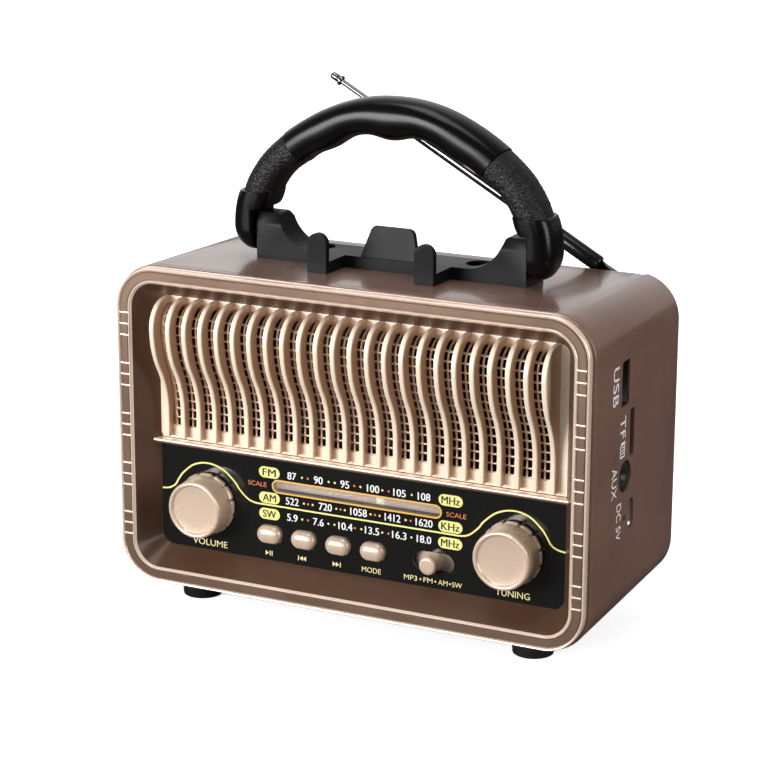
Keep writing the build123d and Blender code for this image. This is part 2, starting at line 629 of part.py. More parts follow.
def make_battery_cell():
    cell = disc_x(CELL_R, -CELL_L / 2, CELL_L / 2, CELL_Y, CELL_Z)
    return cell + disc_x(3, CELL_L / 2, CELL_L / 2 + 1.4, CELL_Y, CELL_Z)


def make_battery_contacts():
    plate = block(36.9, 37.5, CELL_Y - 5, CELL_Y + 5, CELL_Z - 5, CELL_Z + 5)
    plate += disc_x(2.5, CELL_L / 2 + 1.4, 36.9, CELL_Y, CELL_Z)
    turns = 3
    pitch = (37.2 - CELL_L / 2 - 1.0) / turns
    helix = Pos(-CELL_L / 2 - 0.5, CELL_Y, CELL_Z) * Rot(0, -90, 0) * Helix(pitch, pitch * turns, 3.4)
    section = Plane(origin=helix @ 0, z_dir=helix % 0) * Circle(0.4)
    return group([plate, sweep(section, helix, is_frenet=True)])


# ---- Phone holder and handle ----------------------------------------------------

def tower_profile():
    """Side view of a handle tower: front and rear shoulders slope to a flat top."""
    front = [(TRAY_FRONT, 90), (TRAY_FRONT, TOWER_CHAMFER_Z), (TRAY_FRONT + 1.8, TOWER_TOP)]
    rear = [(TOWER_REAR - 1.9, TOWER_TOP), (TOWER_REAR, TOWER_TOP - 2), (TOWER_REAR, 90)]
    return make_face(Polyline(*front, *rear, front[0]))


def make_tower():
    """Right-hand tower, with the concave sweep on its inner side."""
    sweep_r = TOWER_TOP + 2.2 - TRAY_TOP
    tower = sideways(tower_profile(), TOWER_X0, TOWER_X1)
    hollow = Pos(TOWER_X0, TOWER_TOP + 2.2) * Circle(sweep_r)
    tower -= upright(hollow, TRAY_FRONT - 1, TOWER_REAR + 1)
    crown = tower.edges().filter_by(Axis.Y).sort_by(Axis.Z)[-2:].sort_by(Axis.X)[0]
    return fillet(crown, 1.2)


def make_finger():
    """Right-hand front finger: round-topped plate on an arm of the same width."""
    half = FINGER_W / 2
    face = rounded(FINGER_W, FINGER_TOP - 90, half - 0.01, FINGER_X, (FINGER_TOP + 90) / 2)
    finger = upright(face, FINGER_FRONT, FINGER_FRONT + FINGER_T)
    finger += block(FINGER_X - half, FINGER_X + half, FINGER_FRONT, TRAY_FRONT, 93.2, TRAY_TOP)
    return finger - block(0, 40, FINGER_FRONT + FINGER_T, TRAY_FRONT, TRAY_TOP, 120)


def make_rest():
    """Leaning plate in the middle that the phone's back rests on."""
    corners = [(-REST_HALF_W0, TRAY_TOP), (-REST_HALF_W1, REST_TOP), (REST_HALF_W1, REST_TOP),
               (REST_HALF_W0, TRAY_TOP)]
    rest = upright(make_face(Polyline(*corners, corners[0])), 0, REST_T)
    rest = fillet(rest.edges().filter_by(Axis.Y).group_by(Axis.Z)[-1], 2.2)
    lean = Pos(0, TRAY_FRONT + 0.6, TRAY_TOP) * Rot(-REST_LEAN, 0, 0)
    return lean * Pos(0, 0, -TRAY_TOP) * rest


def make_holder_tray():
    tray = block(-TOWER_X1, TOWER_X1, TRAY_FRONT, TRAY_REAR, 90, TRAY_TOP)
    for piece in (make_tower(), make_finger()):
        for shape in both_sides(piece):
            tray += shape
    tray += make_rest()
    for side in (-1, 1):
        tray -= Pos(side * FLOOR_HOLE_X, FLOOR_HOLE_Y, 99.5) * Cylinder(FLOOR_HOLE_R, 3)
        x0, x1 = sorted((side * PIN_START, side * TOWER_X1))
        tray -= disc_x(PIN_R, x0, x1, PIVOT_Y, PIVOT_Z)
        tray -= Pos(side * TRAY_SCREW_X, PIVOT_Y, 96) * Cylinder(SCREW_R, 12)
    return tray - cabinet_block(CAB_FRONT, CAB_REAR)


def make_tray_screws():
    screws = []
    for x in (-TRAY_SCREW_X, TRAY_SCREW_X):
        head = Pos(x, PIVOT_Y, 92.6) * Cylinder(HEAD_R, 1.6)
        shank = Pos(x, PIVOT_Y, 97) * Cylinder(SCREW_R, 8)
        screws.append(head + shank)
    return group(screws)


def make_pivot_pins():
    return group(both_sides(disc_x(PIN_R, PIN_START, CAP_OUT - 2.2, PIVOT_Y, PIVOT_Z)))


def arch_blank():
    """Whole swept arch of the handle, before it is cut into grip and sleeves."""
    right = [(15.4, 139.2), (32.0, 130.1), (40.5, 121.6), (44.1, CAP_TOP - 0.5)]
    points = [(-x, z) for x, z in reversed(right)] + [(0, 142.2)] + right
    path = Plane.XZ.offset(-PIVOT_Y) * Spline(*points, tangents=[(0.25, 1), (0.25, -1)])
    plane = Plane(origin=path @ 0, x_dir=(0, 1, 0), z_dir=path % 0)
    section = plane * RectangleRounded(HANDLE_D, HANDLE_T, 4.2)
    return sweep(section, path)


def seam_cutter():
    """Everything beyond the right-hand seam between grip and sleeve."""
    big = Pos(100, 0, 0) * Box(200, 200, 200)
    return Pos(SEAM[0], PIVOT_Y, SEAM[1]) * Rot(0, SEAM_ANGLE, 0) * big


def make_handle_grip(arch):
    grip = arch
    for cutter in both_sides(seam_cutter()):
        grip -= cutter
    return grip


def make_handle_sleeves(arch):
    above = block(0, 100, 0, 80, CAP_TOP, 200)
    right = (arch & seam_cutter()) & above
    return group(both_sides(right))


def make_handle_end_caps():
    profile = Pos(PIVOT_Y, PIVOT_Z) * Circle(CAP_R)
    profile += Pos(PIVOT_Y, (PIVOT_Z + CAP_TOP) / 2) * Rectangle(2 * CAP_R, CAP_TOP - PIVOT_Z)
    cap = sideways(profile, CAP_IN, CAP_OUT)
    outer = cap.faces().sort_by(Axis.X)[-1].edges()
    cap = fillet(outer, 2.2)
    cap += block(CAP_REACH, CAP_IN, PIVOT_Y - CAP_R, PIVOT_Y + CAP_R, CAP_LEDGE, CAP_TOP)
    cap -= disc_x(PIN_R + RUNNING, CAP_IN, CAP_OUT - 2, PIVOT_Y, PIVOT_Z)
    return group(both_sides(cap))


# ---- Antenna --------------------------------------------------------------------

def along_antenna(shape):
    """Places a shape drawn along +z, from the tilt pin, on the antenna's resting line."""
    return Pos(ANT_X, ANT_Y, ANT_Z) * Rot(0, ANT_ANGLE - 90, 0) * shape


def rod(radius, start, end):
    """Round bar on the antenna's line, between two distances from the tilt pin."""
    return along_antenna(Pos(0, 0, (start + end) / 2) * Cylinder(radius, end - start))


def tube(outer, inner, start, end):
    return rod(outer, start, end) - rod(inner, start, end)


def make_antenna_swivel():
    """Turret on the back cover with two ears for the tilt pin."""
    base = CAB_REAR + 0.1 - ANT_Y
    turret = Pos(0, base + 0.4, 0) * Rot(90, 0, 0) * Cylinder(3.4, 0.8)
    for side in (-1, 1):
        ear = Pos(side * 2.1, (base + 0.8) / 2, 0) * Box(1.0, -base - 0.8, 3.4)
        ear += Pos(side * 2.1, 0, 0) * Rot(0, 90, 0) * Cylinder(1.7, 1.0)
        turret += ear
    turret -= Rot(0, 90, 0) * Cylinder(0.8, 10)
    stem = Pos(0, base - 2.2, 0) * Rot(90, 0, 0) * Cylinder(SWIVEL_STEM_R, 4.4)
    collar = Pos(0, base - 3.3, 0) * Rot(90, 0, 0) * Cylinder(1.9, 1.6)
    return along_antenna(turret + stem + collar)


def make_antenna_pin():
    return along_antenna(Rot(0, 90, 0) * Cylinder(0.8, 5.6))


def make_antenna_base():
    """Flattened tongue on the pin, then the round foot of the antenna."""
    tongue = Rot(0, 90, 0) * Cylinder(1.55, 2.8) + Pos(0, 0, 2.5) * Box(2.8, 3.1, 5)
    tongue -= Rot(0, 90, 0) * Cylinder(0.8 + RUNNING, 10)
    return along_antenna(tongue) + rod(ANT_BASE_R, 5, ANT_BASE_END)


def make_antenna_sleeve():
    return tube(ANT_SLEEVE_R, ANT_R1, ANT_BASE_END, ANT_SLEEVE_END)


def make_antenna_rod():
    """Thinnest section, with a flange and a stub at its tip to pull it by."""
    thin = rod(ANT_R3, 24, ANT_ROD_END)
    flange = rod(1.55, ANT_ROD_END, ANT_ROD_END + 0.8)
    return thin + flange + rod(1.1, ANT_ROD_END + 0.8, ANT_ROD_END + 4)


# ---- Build ----------------------------------------------------------------------

def build():
    os.makedirs("parts", exist_ok=True)
    arch = arch_blank()
    shapes = {
        "cabinet": make_cabinet(),
        "front_bezel": make_front_bezel(),
        "back_cover": make_back_cover(),
        "battery_door": make_battery_door(),
        "back_screws": make_back_screws(),
        "feet": make_feet(),
        "grille": make_grille(),
        "speaker_mesh": make_speaker_mesh(),
        "divider_rail": make_divider_rail(),
        "dial_plate": make_dial_plate(),
        "dial_window": make_dial_window(),
        "dial_backing": make_dial_backing(),
        "dial_pointer": make_dial_pointer(),
        "pointer_rail": make_pointer_rail(),
        "tuning_drum": make_tuning_drum(),
        "cord_posts": make_cord_posts(),
        "dial_cord": make_dial_cord(),
        "tuning_knob": make_knob(KNOB_X),
        "tuning_shaft": make_shaft(KNOB_X, 18.0),
        "tuning_control": make_control(KNOB_X, 13.8),
        "volume_knob": make_knob(-KNOB_X),
        "volume_shaft": make_shaft(-KNOB_X, 18.0),
        "volume_control": make_control(-KNOB_X, 11.0),
        "tact_switches": make_tact_switches(),
        "band_slider": make_band_slider(),
        "band_switch": make_band_switch(),
        "control_board": make_control_board(),
        "board_components": make_board_components(),
        "socket_board": make_socket_board(),
        "usb_socket": make_usb_socket(),
        "card_socket": make_card_socket(),
        "aux_jack": make_aux_jack(),
        "charge_socket": make_charge_socket(),
        "charge_led": make_charge_led(),
        "speaker_frame": make_speaker_frame(),
        "speaker_cone": make_speaker_cone(),
        "speaker_magnet": make_speaker_magnet(),
        "ferrite_rod": make_ferrite_rod(),
        "ferrite_coil": make_ferrite_coil(),
        "battery_holder": make_battery_holder(),
        "battery_cell": make_battery_cell(),
        "battery_contacts": make_battery_contacts(),
        "holder_tray": make_holder_tray(),
        "tray_screws": make_tray_screws(),
        "pivot_pins": make_pivot_pins(),
        "handle_grip": make_handle_grip(arch),
        "handle_sleeves": make_handle_sleeves(arch),
        "handle_end_caps": make_handle_end_caps(),
        "antenna_swivel": make_antenna_swivel(),
        "antenna_pin": make_antenna_pin(),
        "antenna_base": make_antenna_base(),
        "antenna_sleeve": make_antenna_sleeve(),
        "antenna_outer_tube": tube(ANT_R1, ANT_R1 - ANT_WALL, ANT_BASE_END, ANT_TUBE_END),
        "antenna_inner_tube": tube(ANT_R2, ANT_R2 - 0.2, 20, ANT_TUBE_END),
        "antenna_rod": make_antenna_rod(),
    }
    for name, x in BUTTON_X.items():
        shapes[name] = make_button(x)
    for node, shape in shapes.items():
        export(shape, node)


build()
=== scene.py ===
"""Looks of the retro portable radio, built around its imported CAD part."""

import math

import bmesh
import bpy
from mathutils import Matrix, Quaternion, Vector, noise


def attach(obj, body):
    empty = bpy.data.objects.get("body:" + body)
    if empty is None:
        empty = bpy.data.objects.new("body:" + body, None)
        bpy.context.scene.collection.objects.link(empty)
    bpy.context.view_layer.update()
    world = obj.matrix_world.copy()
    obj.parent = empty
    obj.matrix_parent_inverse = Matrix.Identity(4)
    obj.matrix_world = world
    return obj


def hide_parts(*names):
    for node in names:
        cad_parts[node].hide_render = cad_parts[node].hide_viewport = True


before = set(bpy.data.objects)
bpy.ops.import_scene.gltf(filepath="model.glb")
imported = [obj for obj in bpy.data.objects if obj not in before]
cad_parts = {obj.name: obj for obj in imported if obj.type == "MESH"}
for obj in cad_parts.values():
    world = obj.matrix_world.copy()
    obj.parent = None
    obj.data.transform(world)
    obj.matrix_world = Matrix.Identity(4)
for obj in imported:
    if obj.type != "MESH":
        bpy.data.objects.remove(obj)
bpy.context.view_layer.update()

# Everything below is drawn in cabinet millimetres: x to the right of the middle, y back
# from the front of the bezel, z up from the bottom edge of the bezel.
ORIGIN_Y, FOOT_H, MM = 34.75, 6.3, 0.001

# Cabinet and bezel
BEZEL_W, BEZEL_H, BEZEL_R = 150.0, 96.6, 12.4
LIP_Z = 48.3
CAB_HALF_W, CAB_R, CAB_FRONT, CAB_REAR, WALL = 75.9, 13.0, 2.1, 65.8, 2.4
PLATE_Y = 8.5                      # front of the grille baffle and of the dial plate
COVER_INSIDE = CAB_REAR - 2.0      # inner face of the back cover

# Grille
FINS, FIN_PITCH, FIN_T = 24, 5.41, 1.5
FIN_NOSE, FIN_FOOT = -2.0, 6.0     # foremost and rearmost depth of a fin's front line
FIN_Z0, FIN_Z1 = 44.1, 87.0        # lower edge of the baffle, crown of the fins
WAVE_Z0, WAVE_Z1 = 52.0, 79.0      # where the wave starts and ends
SHEET_NOSE, SHEET_FOOT = 2.0, 8.85
MESH_W, MESH_Z0, MESH_Z1 = 125.0, 47.0, 85.0
RAIL_Z = 42.3

# Controls
KNOB_X, KNOB_Z = 49.7, 24.5
BUTTON_Z = 17.7
BUTTONS = {"play_button": ("play", -28.65), "previous_button": ("previous", -17.25),
           "next_button": ("next", -5.85), "mode_button": ("mode", 5.55)}

# Openings in the right side, from the top: place (y, z), size, corner radius
PORTS = [((24.9, 73.4), (5.65, 13.2), 0.9), ((30.9, 57.8), (3.2, 14.0), 0.7),
         ((26.25, 45.8), (9.4, 9.4), 4.69), ((31.65, 33.2), (4.1, 9.4), 2.04),
         ((26.7, 33.2), (1.8, 1.8), 0.89)]

# Handle
PIVOT_Y, PIVOT_Z = 33.4, 105.5
# Outer line of the right half (x, z), and where the grip meets the sleeve
HANDLE_OUTER = [(0.0, 147.0), (8.8, 146.3), (17.5, 144.0), (26.3, 140.0), (35.2, 134.3),
                (42.3, 127.9), (47.0, 121.1), (49.2, 115.6), (49.8, 113.6)]
SEAM_X = 35.1
# End cap: outer side and inner side of the collar as (z, x), and the collar's underside
CAP_SIDE = [(98.0, 46.0), (98.25, 47.4), (98.9, 48.8), (100.0, 50.0), (101.6, 50.9), (103.6, 51.4),
            (106.0, 51.6), (108.5, 51.5), (111.0, 51.2), (113.0, 50.8), (114.6, 50.35), (116.0, 49.8),
            (116.35, 49.45)]
CAP_INNER = [(111.2, 41.6), (111.5, 41.0), (112.5, 40.3), (114.2, 39.6), (116.35, 39.0)]
LEDGE_Z = 111.2

# Antenna
ANT_AT = (61.6, 69.0, 89.0)
ANT_ANGLE = math.radians(29.5)


# ---- Finishes -------------------------------------------------------------------

def srgb(r, g, b):
    """Colour for a shader from the familiar 0 to 255 scale."""
    values = []
    for c in (r, g, b):
        c /= 255
        values.append(c / 12.92 if c <= 0.04045 else ((c + 0.055) / 1.055) ** 2.4)
    return (*values, 1.0)


class Nodes:
    """Small helper for writing a node tree."""

    def __init__(self, name):
        self.material = bpy.data.materials.new(name)
        self.material.use_nodes = True
        self.tree = self.material.node_tree
        self.surface = self.tree.nodes["Principled BSDF"]
        coordinates = self.add("ShaderNodeTexCoord")
        self.place = coordinates.outputs["Object"]

    def add(self, kind, **inputs):
        node = self.tree.nodes.new(kind)
        for key, value in inputs.items():
            self.set(node.inputs[key.replace("_", " ")], value)
        return node

    def set(self, socket, value):
        if isinstance(value, bpy.types.NodeSocket):
            self.tree.links.new(value, socket)
        else:
            socket.default_value = value

    def noise(self, scale, stretch=(1, 1, 1), detail=3.0, roughness=0.55):
        mapping = self.add("ShaderNodeMapping", Vector=self.place, Scale=stretch)
        texture = self.add("ShaderNodeTexNoise", Vector=mapping.outputs["Vector"], Scale=scale,
                           Detail=detail, Roughness=roughness)
        return texture.outputs["Fac"]

    def range(self, value, low, high, to_low, to_high):
        node = self.add("ShaderNodeMapRange")
        self.set(node.inputs["Value"], value)
        for key, number in zip(("From Min", "From Max", "To Min", "To Max"),
                               (low, high, to_low, to_high)):
            node.inputs[key].default_value = number
        return node.outputs["Result"]

    def math(self, operation, a, b):
        node = self.add("ShaderNodeMath")
        node.operation = operation
        self.set(node.inputs[0], a)
        self.set(node.inputs[1], b)
        return node.outputs["Value"]

    def mix(self, factor, a, b):
        node = self.add("ShaderNodeMix")
        node.data_type = "RGBA"
        self.set(node.inputs["Factor"], factor)
        colours = [s for s in node.inputs if s.type == "RGBA"]
        self.set(colours[0], a)
        self.set(colours[1], b)
        return [s for s in node.outputs if s.type == "RGBA"][0]

    def edges(self, radius):
        """Near 1 along sharp edges and 0 on open faces."""
        bevel = self.add("ShaderNodeBevel", Radius=radius)
        bevel.samples = 4
        geometry = self.add("ShaderNodeNewGeometry")
        dot = self.add("ShaderNodeVectorMath")
        dot.operation = "DOT_PRODUCT"
        self.set(dot.inputs[0], bevel.outputs["Normal"])
        self.set(dot.inputs[1], geometry.outputs["Normal"])
        return self.range(dot.outputs["Value"], 1.0, 0.85, 0.0, 1.0)


FINISH = {}                # every finish by name, filled by the functions below


def finish(name, colour, *, metal=0.0, rough=0.35, spread=0.06, mottle=0.10,
           grain=1400.0, stretch=(1, 1, 1), bump=0.15, depth=0.00004, coat=0.0, coat_rough=0.08,
           wear=0.0, wear_colour=None, specular=0.5, glow=0.0):
    """A finish with uneven tone, uneven sheen, a fine surface grain and rubbed edges."""
    n = Nodes(name)
    base = srgb(*colour)
    darker = (*(c * (1 - mottle) for c in base[:3]), 1.0)
    lighter = (*(min(1.0, c * (1 + mottle)) for c in base[:3]), 1.0)
    cloud = n.range(n.noise(45.0, detail=4.0), 0.35, 0.65, 0.0, 1.0)
    fine = n.noise(grain, stretch, detail=3.0, roughness=0.6)
    tone = n.mix(n.math("ADD", n.math("MULTIPLY", cloud, 0.6),
                        n.math("MULTIPLY", fine, 0.4)), darker, lighter)
    sheen = n.range(n.math("ADD", n.math("MULTIPLY", cloud, 0.5), n.math("MULTIPLY", fine, 0.5)),
                    0.2, 0.8, max(0.02, rough - spread), rough + spread)
    if wear:
        rubbed = n.math("MULTIPLY", n.edges(0.0004), n.range(n.noise(320.0), 0.4, 0.62, 0.0, wear))
        tone = n.mix(rubbed, tone, srgb(*(wear_colour or (220, 205, 190))))
    n.set(n.surface.inputs["Base Color"], tone)
    n.set(n.surface.inputs["Roughness"], sheen)
    n.surface.inputs["Metallic"].default_value = metal
    n.surface.inputs["Specular IOR Level"].default_value = specular
    n.surface.inputs["Coat Weight"].default_value = coat
    n.surface.inputs["Coat Roughness"].default_value = coat_rough
    if glow:
        n.surface.inputs["Emission Color"].default_value = base
        n.surface.inputs["Emission Strength"].default_value = glow
    relief = n.add("ShaderNodeBump", Strength=bump, Distance=depth, Height=fine)
    n.set(n.surface.inputs["Normal"], relief.outputs["Normal"])
    FINISH[name] = n.material


def window():
    """Clear plastic: what lies behind shows through a thin, slightly uneven gloss."""
    n = Nodes("window_clear")
    see_through = n.add("ShaderNodeBsdfTransparent", Color=(0.97, 0.96, 0.94, 1))
    edge = n.add("ShaderNodeFresnel", IOR=1.49)
    uneven = n.range(n.noise(700.0), 0.3, 0.7, 0.02, 0.09)
    n.surface.inputs["Base Color"].default_value = srgb(210, 206, 198)
    n.set(n.surface.inputs["Roughness"], uneven)
    mix = n.add("ShaderNodeMixShader")
    n.set(mix.inputs[0], n.math("ADD", edge.outputs["Fac"], uneven))
    n.set(mix.inputs[1], see_through.outputs["BSDF"])
    n.set(mix.inputs[2], n.surface.outputs["BSDF"])
    n.set(n.tree.nodes["Material Output"].inputs["Surface"], mix.outputs["Shader"])
    FINISH["window_clear"] = n.material


def leather():
    """Embossed leather: pebbles over a soft, slightly greasy black."""
    n = Nodes("leather_look")
    cells = n.add("ShaderNodeTexVoronoi", Vector=n.place, Scale=1100.0)
    cells.feature = "DISTANCE_TO_EDGE"
    pebble = n.range(cells.outputs["Distance"], 0.0, 0.35, 0.0, 1.0)
    fine = n.noise(3800.0)
    n.set(n.surface.inputs["Base Color"], n.mix(pebble, srgb(7, 7, 8), srgb(34, 33, 32)))
    n.set(n.surface.inputs["Roughness"], n.range(fine, 0.3, 0.7, 0.33, 0.5))
    n.surface.inputs["Specular IOR Level"].default_value = 0.3
    height = n.math("ADD", pebble, n.math("MULTIPLY", fine, 0.3))
    relief = n.add("ShaderNodeBump", Strength=0.7, Distance=0.00016, Height=height)
    n.set(n.surface.inputs["Normal"], relief.outputs["Normal"])
    FINISH["leather_look"] = n.material


def circuit_board():
    """Green lacquer over copper tracks."""
    n = Nodes("board_green")
    grid = n.add("ShaderNodeTexBrick", Vector=n.place, Scale=260.0)
    grid.inputs["Mortar Size"].default_value = 0.06
    grid.inputs["Color1"].default_value = srgb(18, 74, 44)
    grid.inputs["Color2"].default_value = srgb(24, 88, 50)
    grid.inputs["Mortar"].default_value = srgb(60, 128, 70)
    tone = n.mix(n.range(n.noise(180.0), 0.4, 0.6, 0.0, 0.35), grid.outputs["Color"], srgb(12, 50, 30))
    n.set(n.surface.inputs["Base Color"], tone)
    n.set(n.surface.inputs["Roughness"], n.range(n.noise(900.0), 0.3, 0.7, 0.25, 0.42))
    relief = n.add("ShaderNodeBump", Strength=0.4, Distance=0.00005, Height=grid.outputs["Fac"])
    n.set(n.surface.inputs["Normal"], relief.outputs["Normal"])
    FINISH["board_green"] = n.material


def finishes():
    """One material for each finish slot of the part, and a few that share a slot."""
    finish("cabinet_finish", (130, 98, 84), metal=0.10, rough=0.32, coat=0.5, coat_rough=0.10,
           grain=700.0, stretch=(1, 1, 0.03), mottle=0.16, bump=0.02)
    finish("bezel_bronze", (124, 101, 85), metal=0.5, rough=0.36, grain=420.0, stretch=(0.15, 1, 9),
           bump=0.25, mottle=0.05)
    # Bead bronze: polished like the band's metal, but painted far lighter than it as a painted highlight;
    # also used on the cross ribs and the rail bead.
    finish("bezel_bead_painted_highlight", (255, 230, 210), metal=0.4, rough=0.24, spread=0.02, grain=900.0,
           bump=0.02, mottle=0.01)
    finish("bezel_funnel", (84, 58, 42), metal=0.1, rough=0.40, spread=0.02, coat=0.15,
           coat_rough=0.25, grain=600.0, bump=0.03, mottle=0.02)
    finish("grille_gold", (255, 234, 210), metal=0.12, rough=0.36, grain=1700.0, bump=0.12,
           mottle=0.03)
    # Darker copy of the grille gold: painted shade on the fins' flat sides and on the speaker mesh
    # between them; the grille is one bronze moulding.
    finish("grille_painted_shade", (216, 186, 160), metal=0.35, rough=0.42, grain=1700.0, bump=0.12,
           mottle=0.03)
    finish("control_gold", (232, 206, 184), metal=0.35, rough=0.28, spread=0.02, grain=1500.0,
           bump=0.02, mottle=0.01)
    finish("dial_black", (20, 21, 21), rough=0.12, spread=0.03, coat=0.3, coat_rough=0.05,
           grain=900.0, bump=0.02, mottle=0.10)
    finish("black_plastic", (16, 16, 17), rough=0.38, grain=2600.0, bump=0.2, mottle=0.07,
           wear=0.15, wear_colour=(50, 50, 52), specular=0.12)
    finish("back_black", (34, 33, 33), rough=0.52, grain=2200.0, bump=0.40, mottle=0.10, wear=0.3,
           wear_colour=(84, 82, 80))
    finish("grip_black", (8, 8, 9), rough=0.24, spread=0.03, grain=2400.0, bump=0.05, mottle=0.08,
           specular=0.22)
    leather()
    finish("foot_rubber", (26, 26, 26), rough=0.42, grain=1300.0, bump=0.3, mottle=0.15, wear=0.2,
           wear_colour=(70, 68, 66))
    window()
    # The taupe backing glows so that the shaded space behind the dial window looks evenly lit: painted
    # light.
    finish("backing_taupe", (150, 132, 124), rough=0.55, bump=0.2, glow=1.3)
    # The pale pointer glows a little to look brighter: painted light, it is no lamp.
    finish("pointer_light", (240, 230, 212), rough=0.4, bump=0.1, glow=0.6)
    finish("chrome", (112, 112, 115), metal=1.0, rough=0.14, spread=0.04, grain=1800.0,
           stretch=(1, 1, 0.2), bump=0.04, mottle=0.04)
    finish("steel", (150, 150, 152), metal=1.0, rough=0.30, grain=2000.0, bump=0.2, wear=0.3)
    finish("speaker_black", (24, 23, 22), rough=0.6, grain=1600.0, bump=0.2)
    circuit_board()
    finish("component_dark", (30, 31, 34), rough=0.45, bump=0.3, mottle=0.2)
    finish("cord_fibre", (168, 156, 120), rough=0.8, grain=3000.0, bump=0.8, depth=0.0001)
    # Dark sheet over the vents inside the back cover, put there as painted shade for the see-through
    # holes.
    finish("dust_cloth", (22, 21, 20), rough=0.9, grain=1800.0, bump=0.8, depth=0.0001, mottle=0.2,
           specular=0.2)
    finish("cone_paper", (30, 28, 27), rough=0.85, grain=1400.0, bump=0.6, depth=0.0001, mottle=0.2)
    finish("ferrite", (52, 52, 55), rough=0.7, bump=0.5, mottle=0.15)
    finish("coil_copper", (176, 92, 48), metal=0.9, rough=0.35, grain=2400.0, stretch=(4, 0.1, 0.1),
           bump=0.6, depth=0.0001)
    finish("cell_wrap", (46, 86, 132), rough=0.3, bump=0.1, mottle=0.08)
    finish("white_plastic", (222, 220, 212), rough=0.4, bump=0.15)
    finish("led_lens", (130, 30, 24), rough=0.2, bump=0.05, coat=0.5)
    finish("antenna_black", (16, 16, 17), rough=0.28, grain=2000.0, bump=0.08, wear=0.15,
           wear_colour=(60, 60, 60))
    # The white, yellow, cream, orange and gold inks glow faintly to read brighter: painted light on the
    # print; their colours are the inks' own.
    finish("print_white", (236, 238, 238), rough=0.5, grain=2600.0, bump=0.2, mottle=0.04,
           glow=0.12)
    finish("print_yellow", (238, 232, 140), rough=0.5, grain=2600.0, bump=0.2, mottle=0.05,
           glow=0.12)
    finish("print_cream", (232, 220, 160), rough=0.5, grain=2600.0, bump=0.2, mottle=0.05,
           glow=0.10)
    finish("print_orange", (222, 124, 58), rough=0.5, grain=2600.0, bump=0.2, mottle=0.05,
           glow=0.08)
    finish("print_gold", (232, 178, 78), rough=0.45, grain=2600.0, bump=0.2, mottle=0.06, glow=0.08)
    finish("print_dark", (24, 20, 8), rough=0.5, grain=2600.0, bump=0.2)


finishes()


# ---- Meshes ---------------------------------------------------------------------

class Shape:
    """Vertices and faces in cabinet millimetres, gathered into one piece."""

    def __init__(self):
        self.points, self.faces, self.tags = [], [], []

    def skin(self, rings, tag=0, loop=False):
        """Surface through equally long rings. With loop, the last ring joins the first."""
        start, count = len(self.points), len(rings[0])
        for ring in rings:
            self.points.extend(ring)
        total = len(rings)
        for i in range(total if loop else total - 1):
            a, b = start + i * count, start + ((i + 1) % total) * count
            mark = tag[i] if isinstance(tag, list) else tag
            for j in range(count):
                k = (j + 1) % count
                self.face((a + j, a + k, b + k, b + j), mark)
        if not loop:
            mark = tag[0] if isinstance(tag, list) else tag
            self.face(tuple(reversed(range(start, start + count))), mark)
            last = start + (total - 1) * count
            mark = tag[-1] if isinstance(tag, list) else tag
            self.face(tuple(range(last, last + count)), mark)
        return self

    def face(self, corners, tag=0):
        self.faces.append(corners)
        self.tags.append(tag)

    def mirrored(self):
        """Adds the mirror image about the middle plane."""
        start = len(self.points)
        self.points += [(-x, y, z) for x, y, z in self.points]
        for corners, tag in list(zip(self.faces, self.tags)):
            self.face(tuple(start + c for c in reversed(corners)), tag)
        return self


def new_mesh(name, shape):
    """Mesh of a shape, in metres in the part's own frame."""
    mesh = bpy.data.meshes.new(name)
    mesh.from_pydata([(x * MM, (y - ORIGIN_Y) * MM, (z + FOOT_H) * MM) for x, y, z in shape.points],
                     [], shape.faces)
    return mesh


def piece(name, shape, finish_names, body="casing", stands_for=(), smooth=35.0):
    """Makes the object, gives it its finishes and puts it on its CAD body."""
    names = finish_names if isinstance(finish_names, list) else [finish_names]
    mesh = new_mesh(name, shape)
    for each in names:
        mesh.materials.append(FINISH[each])
    mesh.polygons.foreach_set("material_index", shape.tags)
    mesh.validate()
    obj = bpy.data.objects.new(name, mesh)
    bpy.context.scene.collection.objects.link(obj)
    tidy_normals(obj)
    mesh.polygons.foreach_set("use_smooth", [True] * len(mesh.polygons))
    mesh.set_sharp_from_angle(angle=math.radians(smooth))
    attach(obj, body)
    if stands_for:
        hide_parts(*stands_for)
    return obj


def tidy_normals(obj):
    """Turns every face outwards."""
    bm = bmesh.new()
    bm.from_mesh(obj.data)
    bmesh.ops.recalc_face_normals(bm, faces=bm.faces)
    bm.to_mesh(obj.data)
    bm.free()


def subtract(obj, cutters):
    """Cuts the cutter shapes out of a finished piece."""
    for i, shape in enumerate(cutters):
        tool = bpy.data.objects.new(f"cut_{i}", new_mesh(f"cut_{i}", shape))
        bpy.context.scene.collection.objects.link(tool)
        tidy_normals(tool)
        cut = obj.modifiers.new("cut", "BOOLEAN")
        cut.operation, cut.solver, cut.object = "DIFFERENCE", "EXACT", tool
        bpy.context.view_layer.update()
        depsgraph = bpy.context.evaluated_depsgraph_get()
        done = bpy.data.meshes.new_from_object(obj.evaluated_get(depsgraph))
        obj.modifiers.clear()
        obj.data = done
        bpy.data.objects.remove(tool)
    obj.data.polygons.foreach_set("use_smooth", [True] * len(obj.data.polygons))
    obj.data.set_sharp_from_angle(angle=math.radians(35))


def rounded_rect(width, height, radius, cx=0.0, cz=0.0, steps=14):
    """Outline points (x, z), anticlockwise."""
    points = []
    corners = ((1, 1), (-1, 1), (-1, -1), (1, -1))
    for quarter, (sx, sz) in enumerate(corners):
        for i in range(steps + 1):
            a = math.pi / 2 * (quarter + i / steps)
            points.append((cx + sx * (width / 2 - radius) + radius * math.cos(a),
                           cz + sz * (height / 2 - radius) + radius * math.sin(a)))
    return points


def stadium(width, height, cx=0.0, cz=0.0, steps=14):
    return rounded_rect(width, height, height / 2 - 0.001, cx, cz, steps)


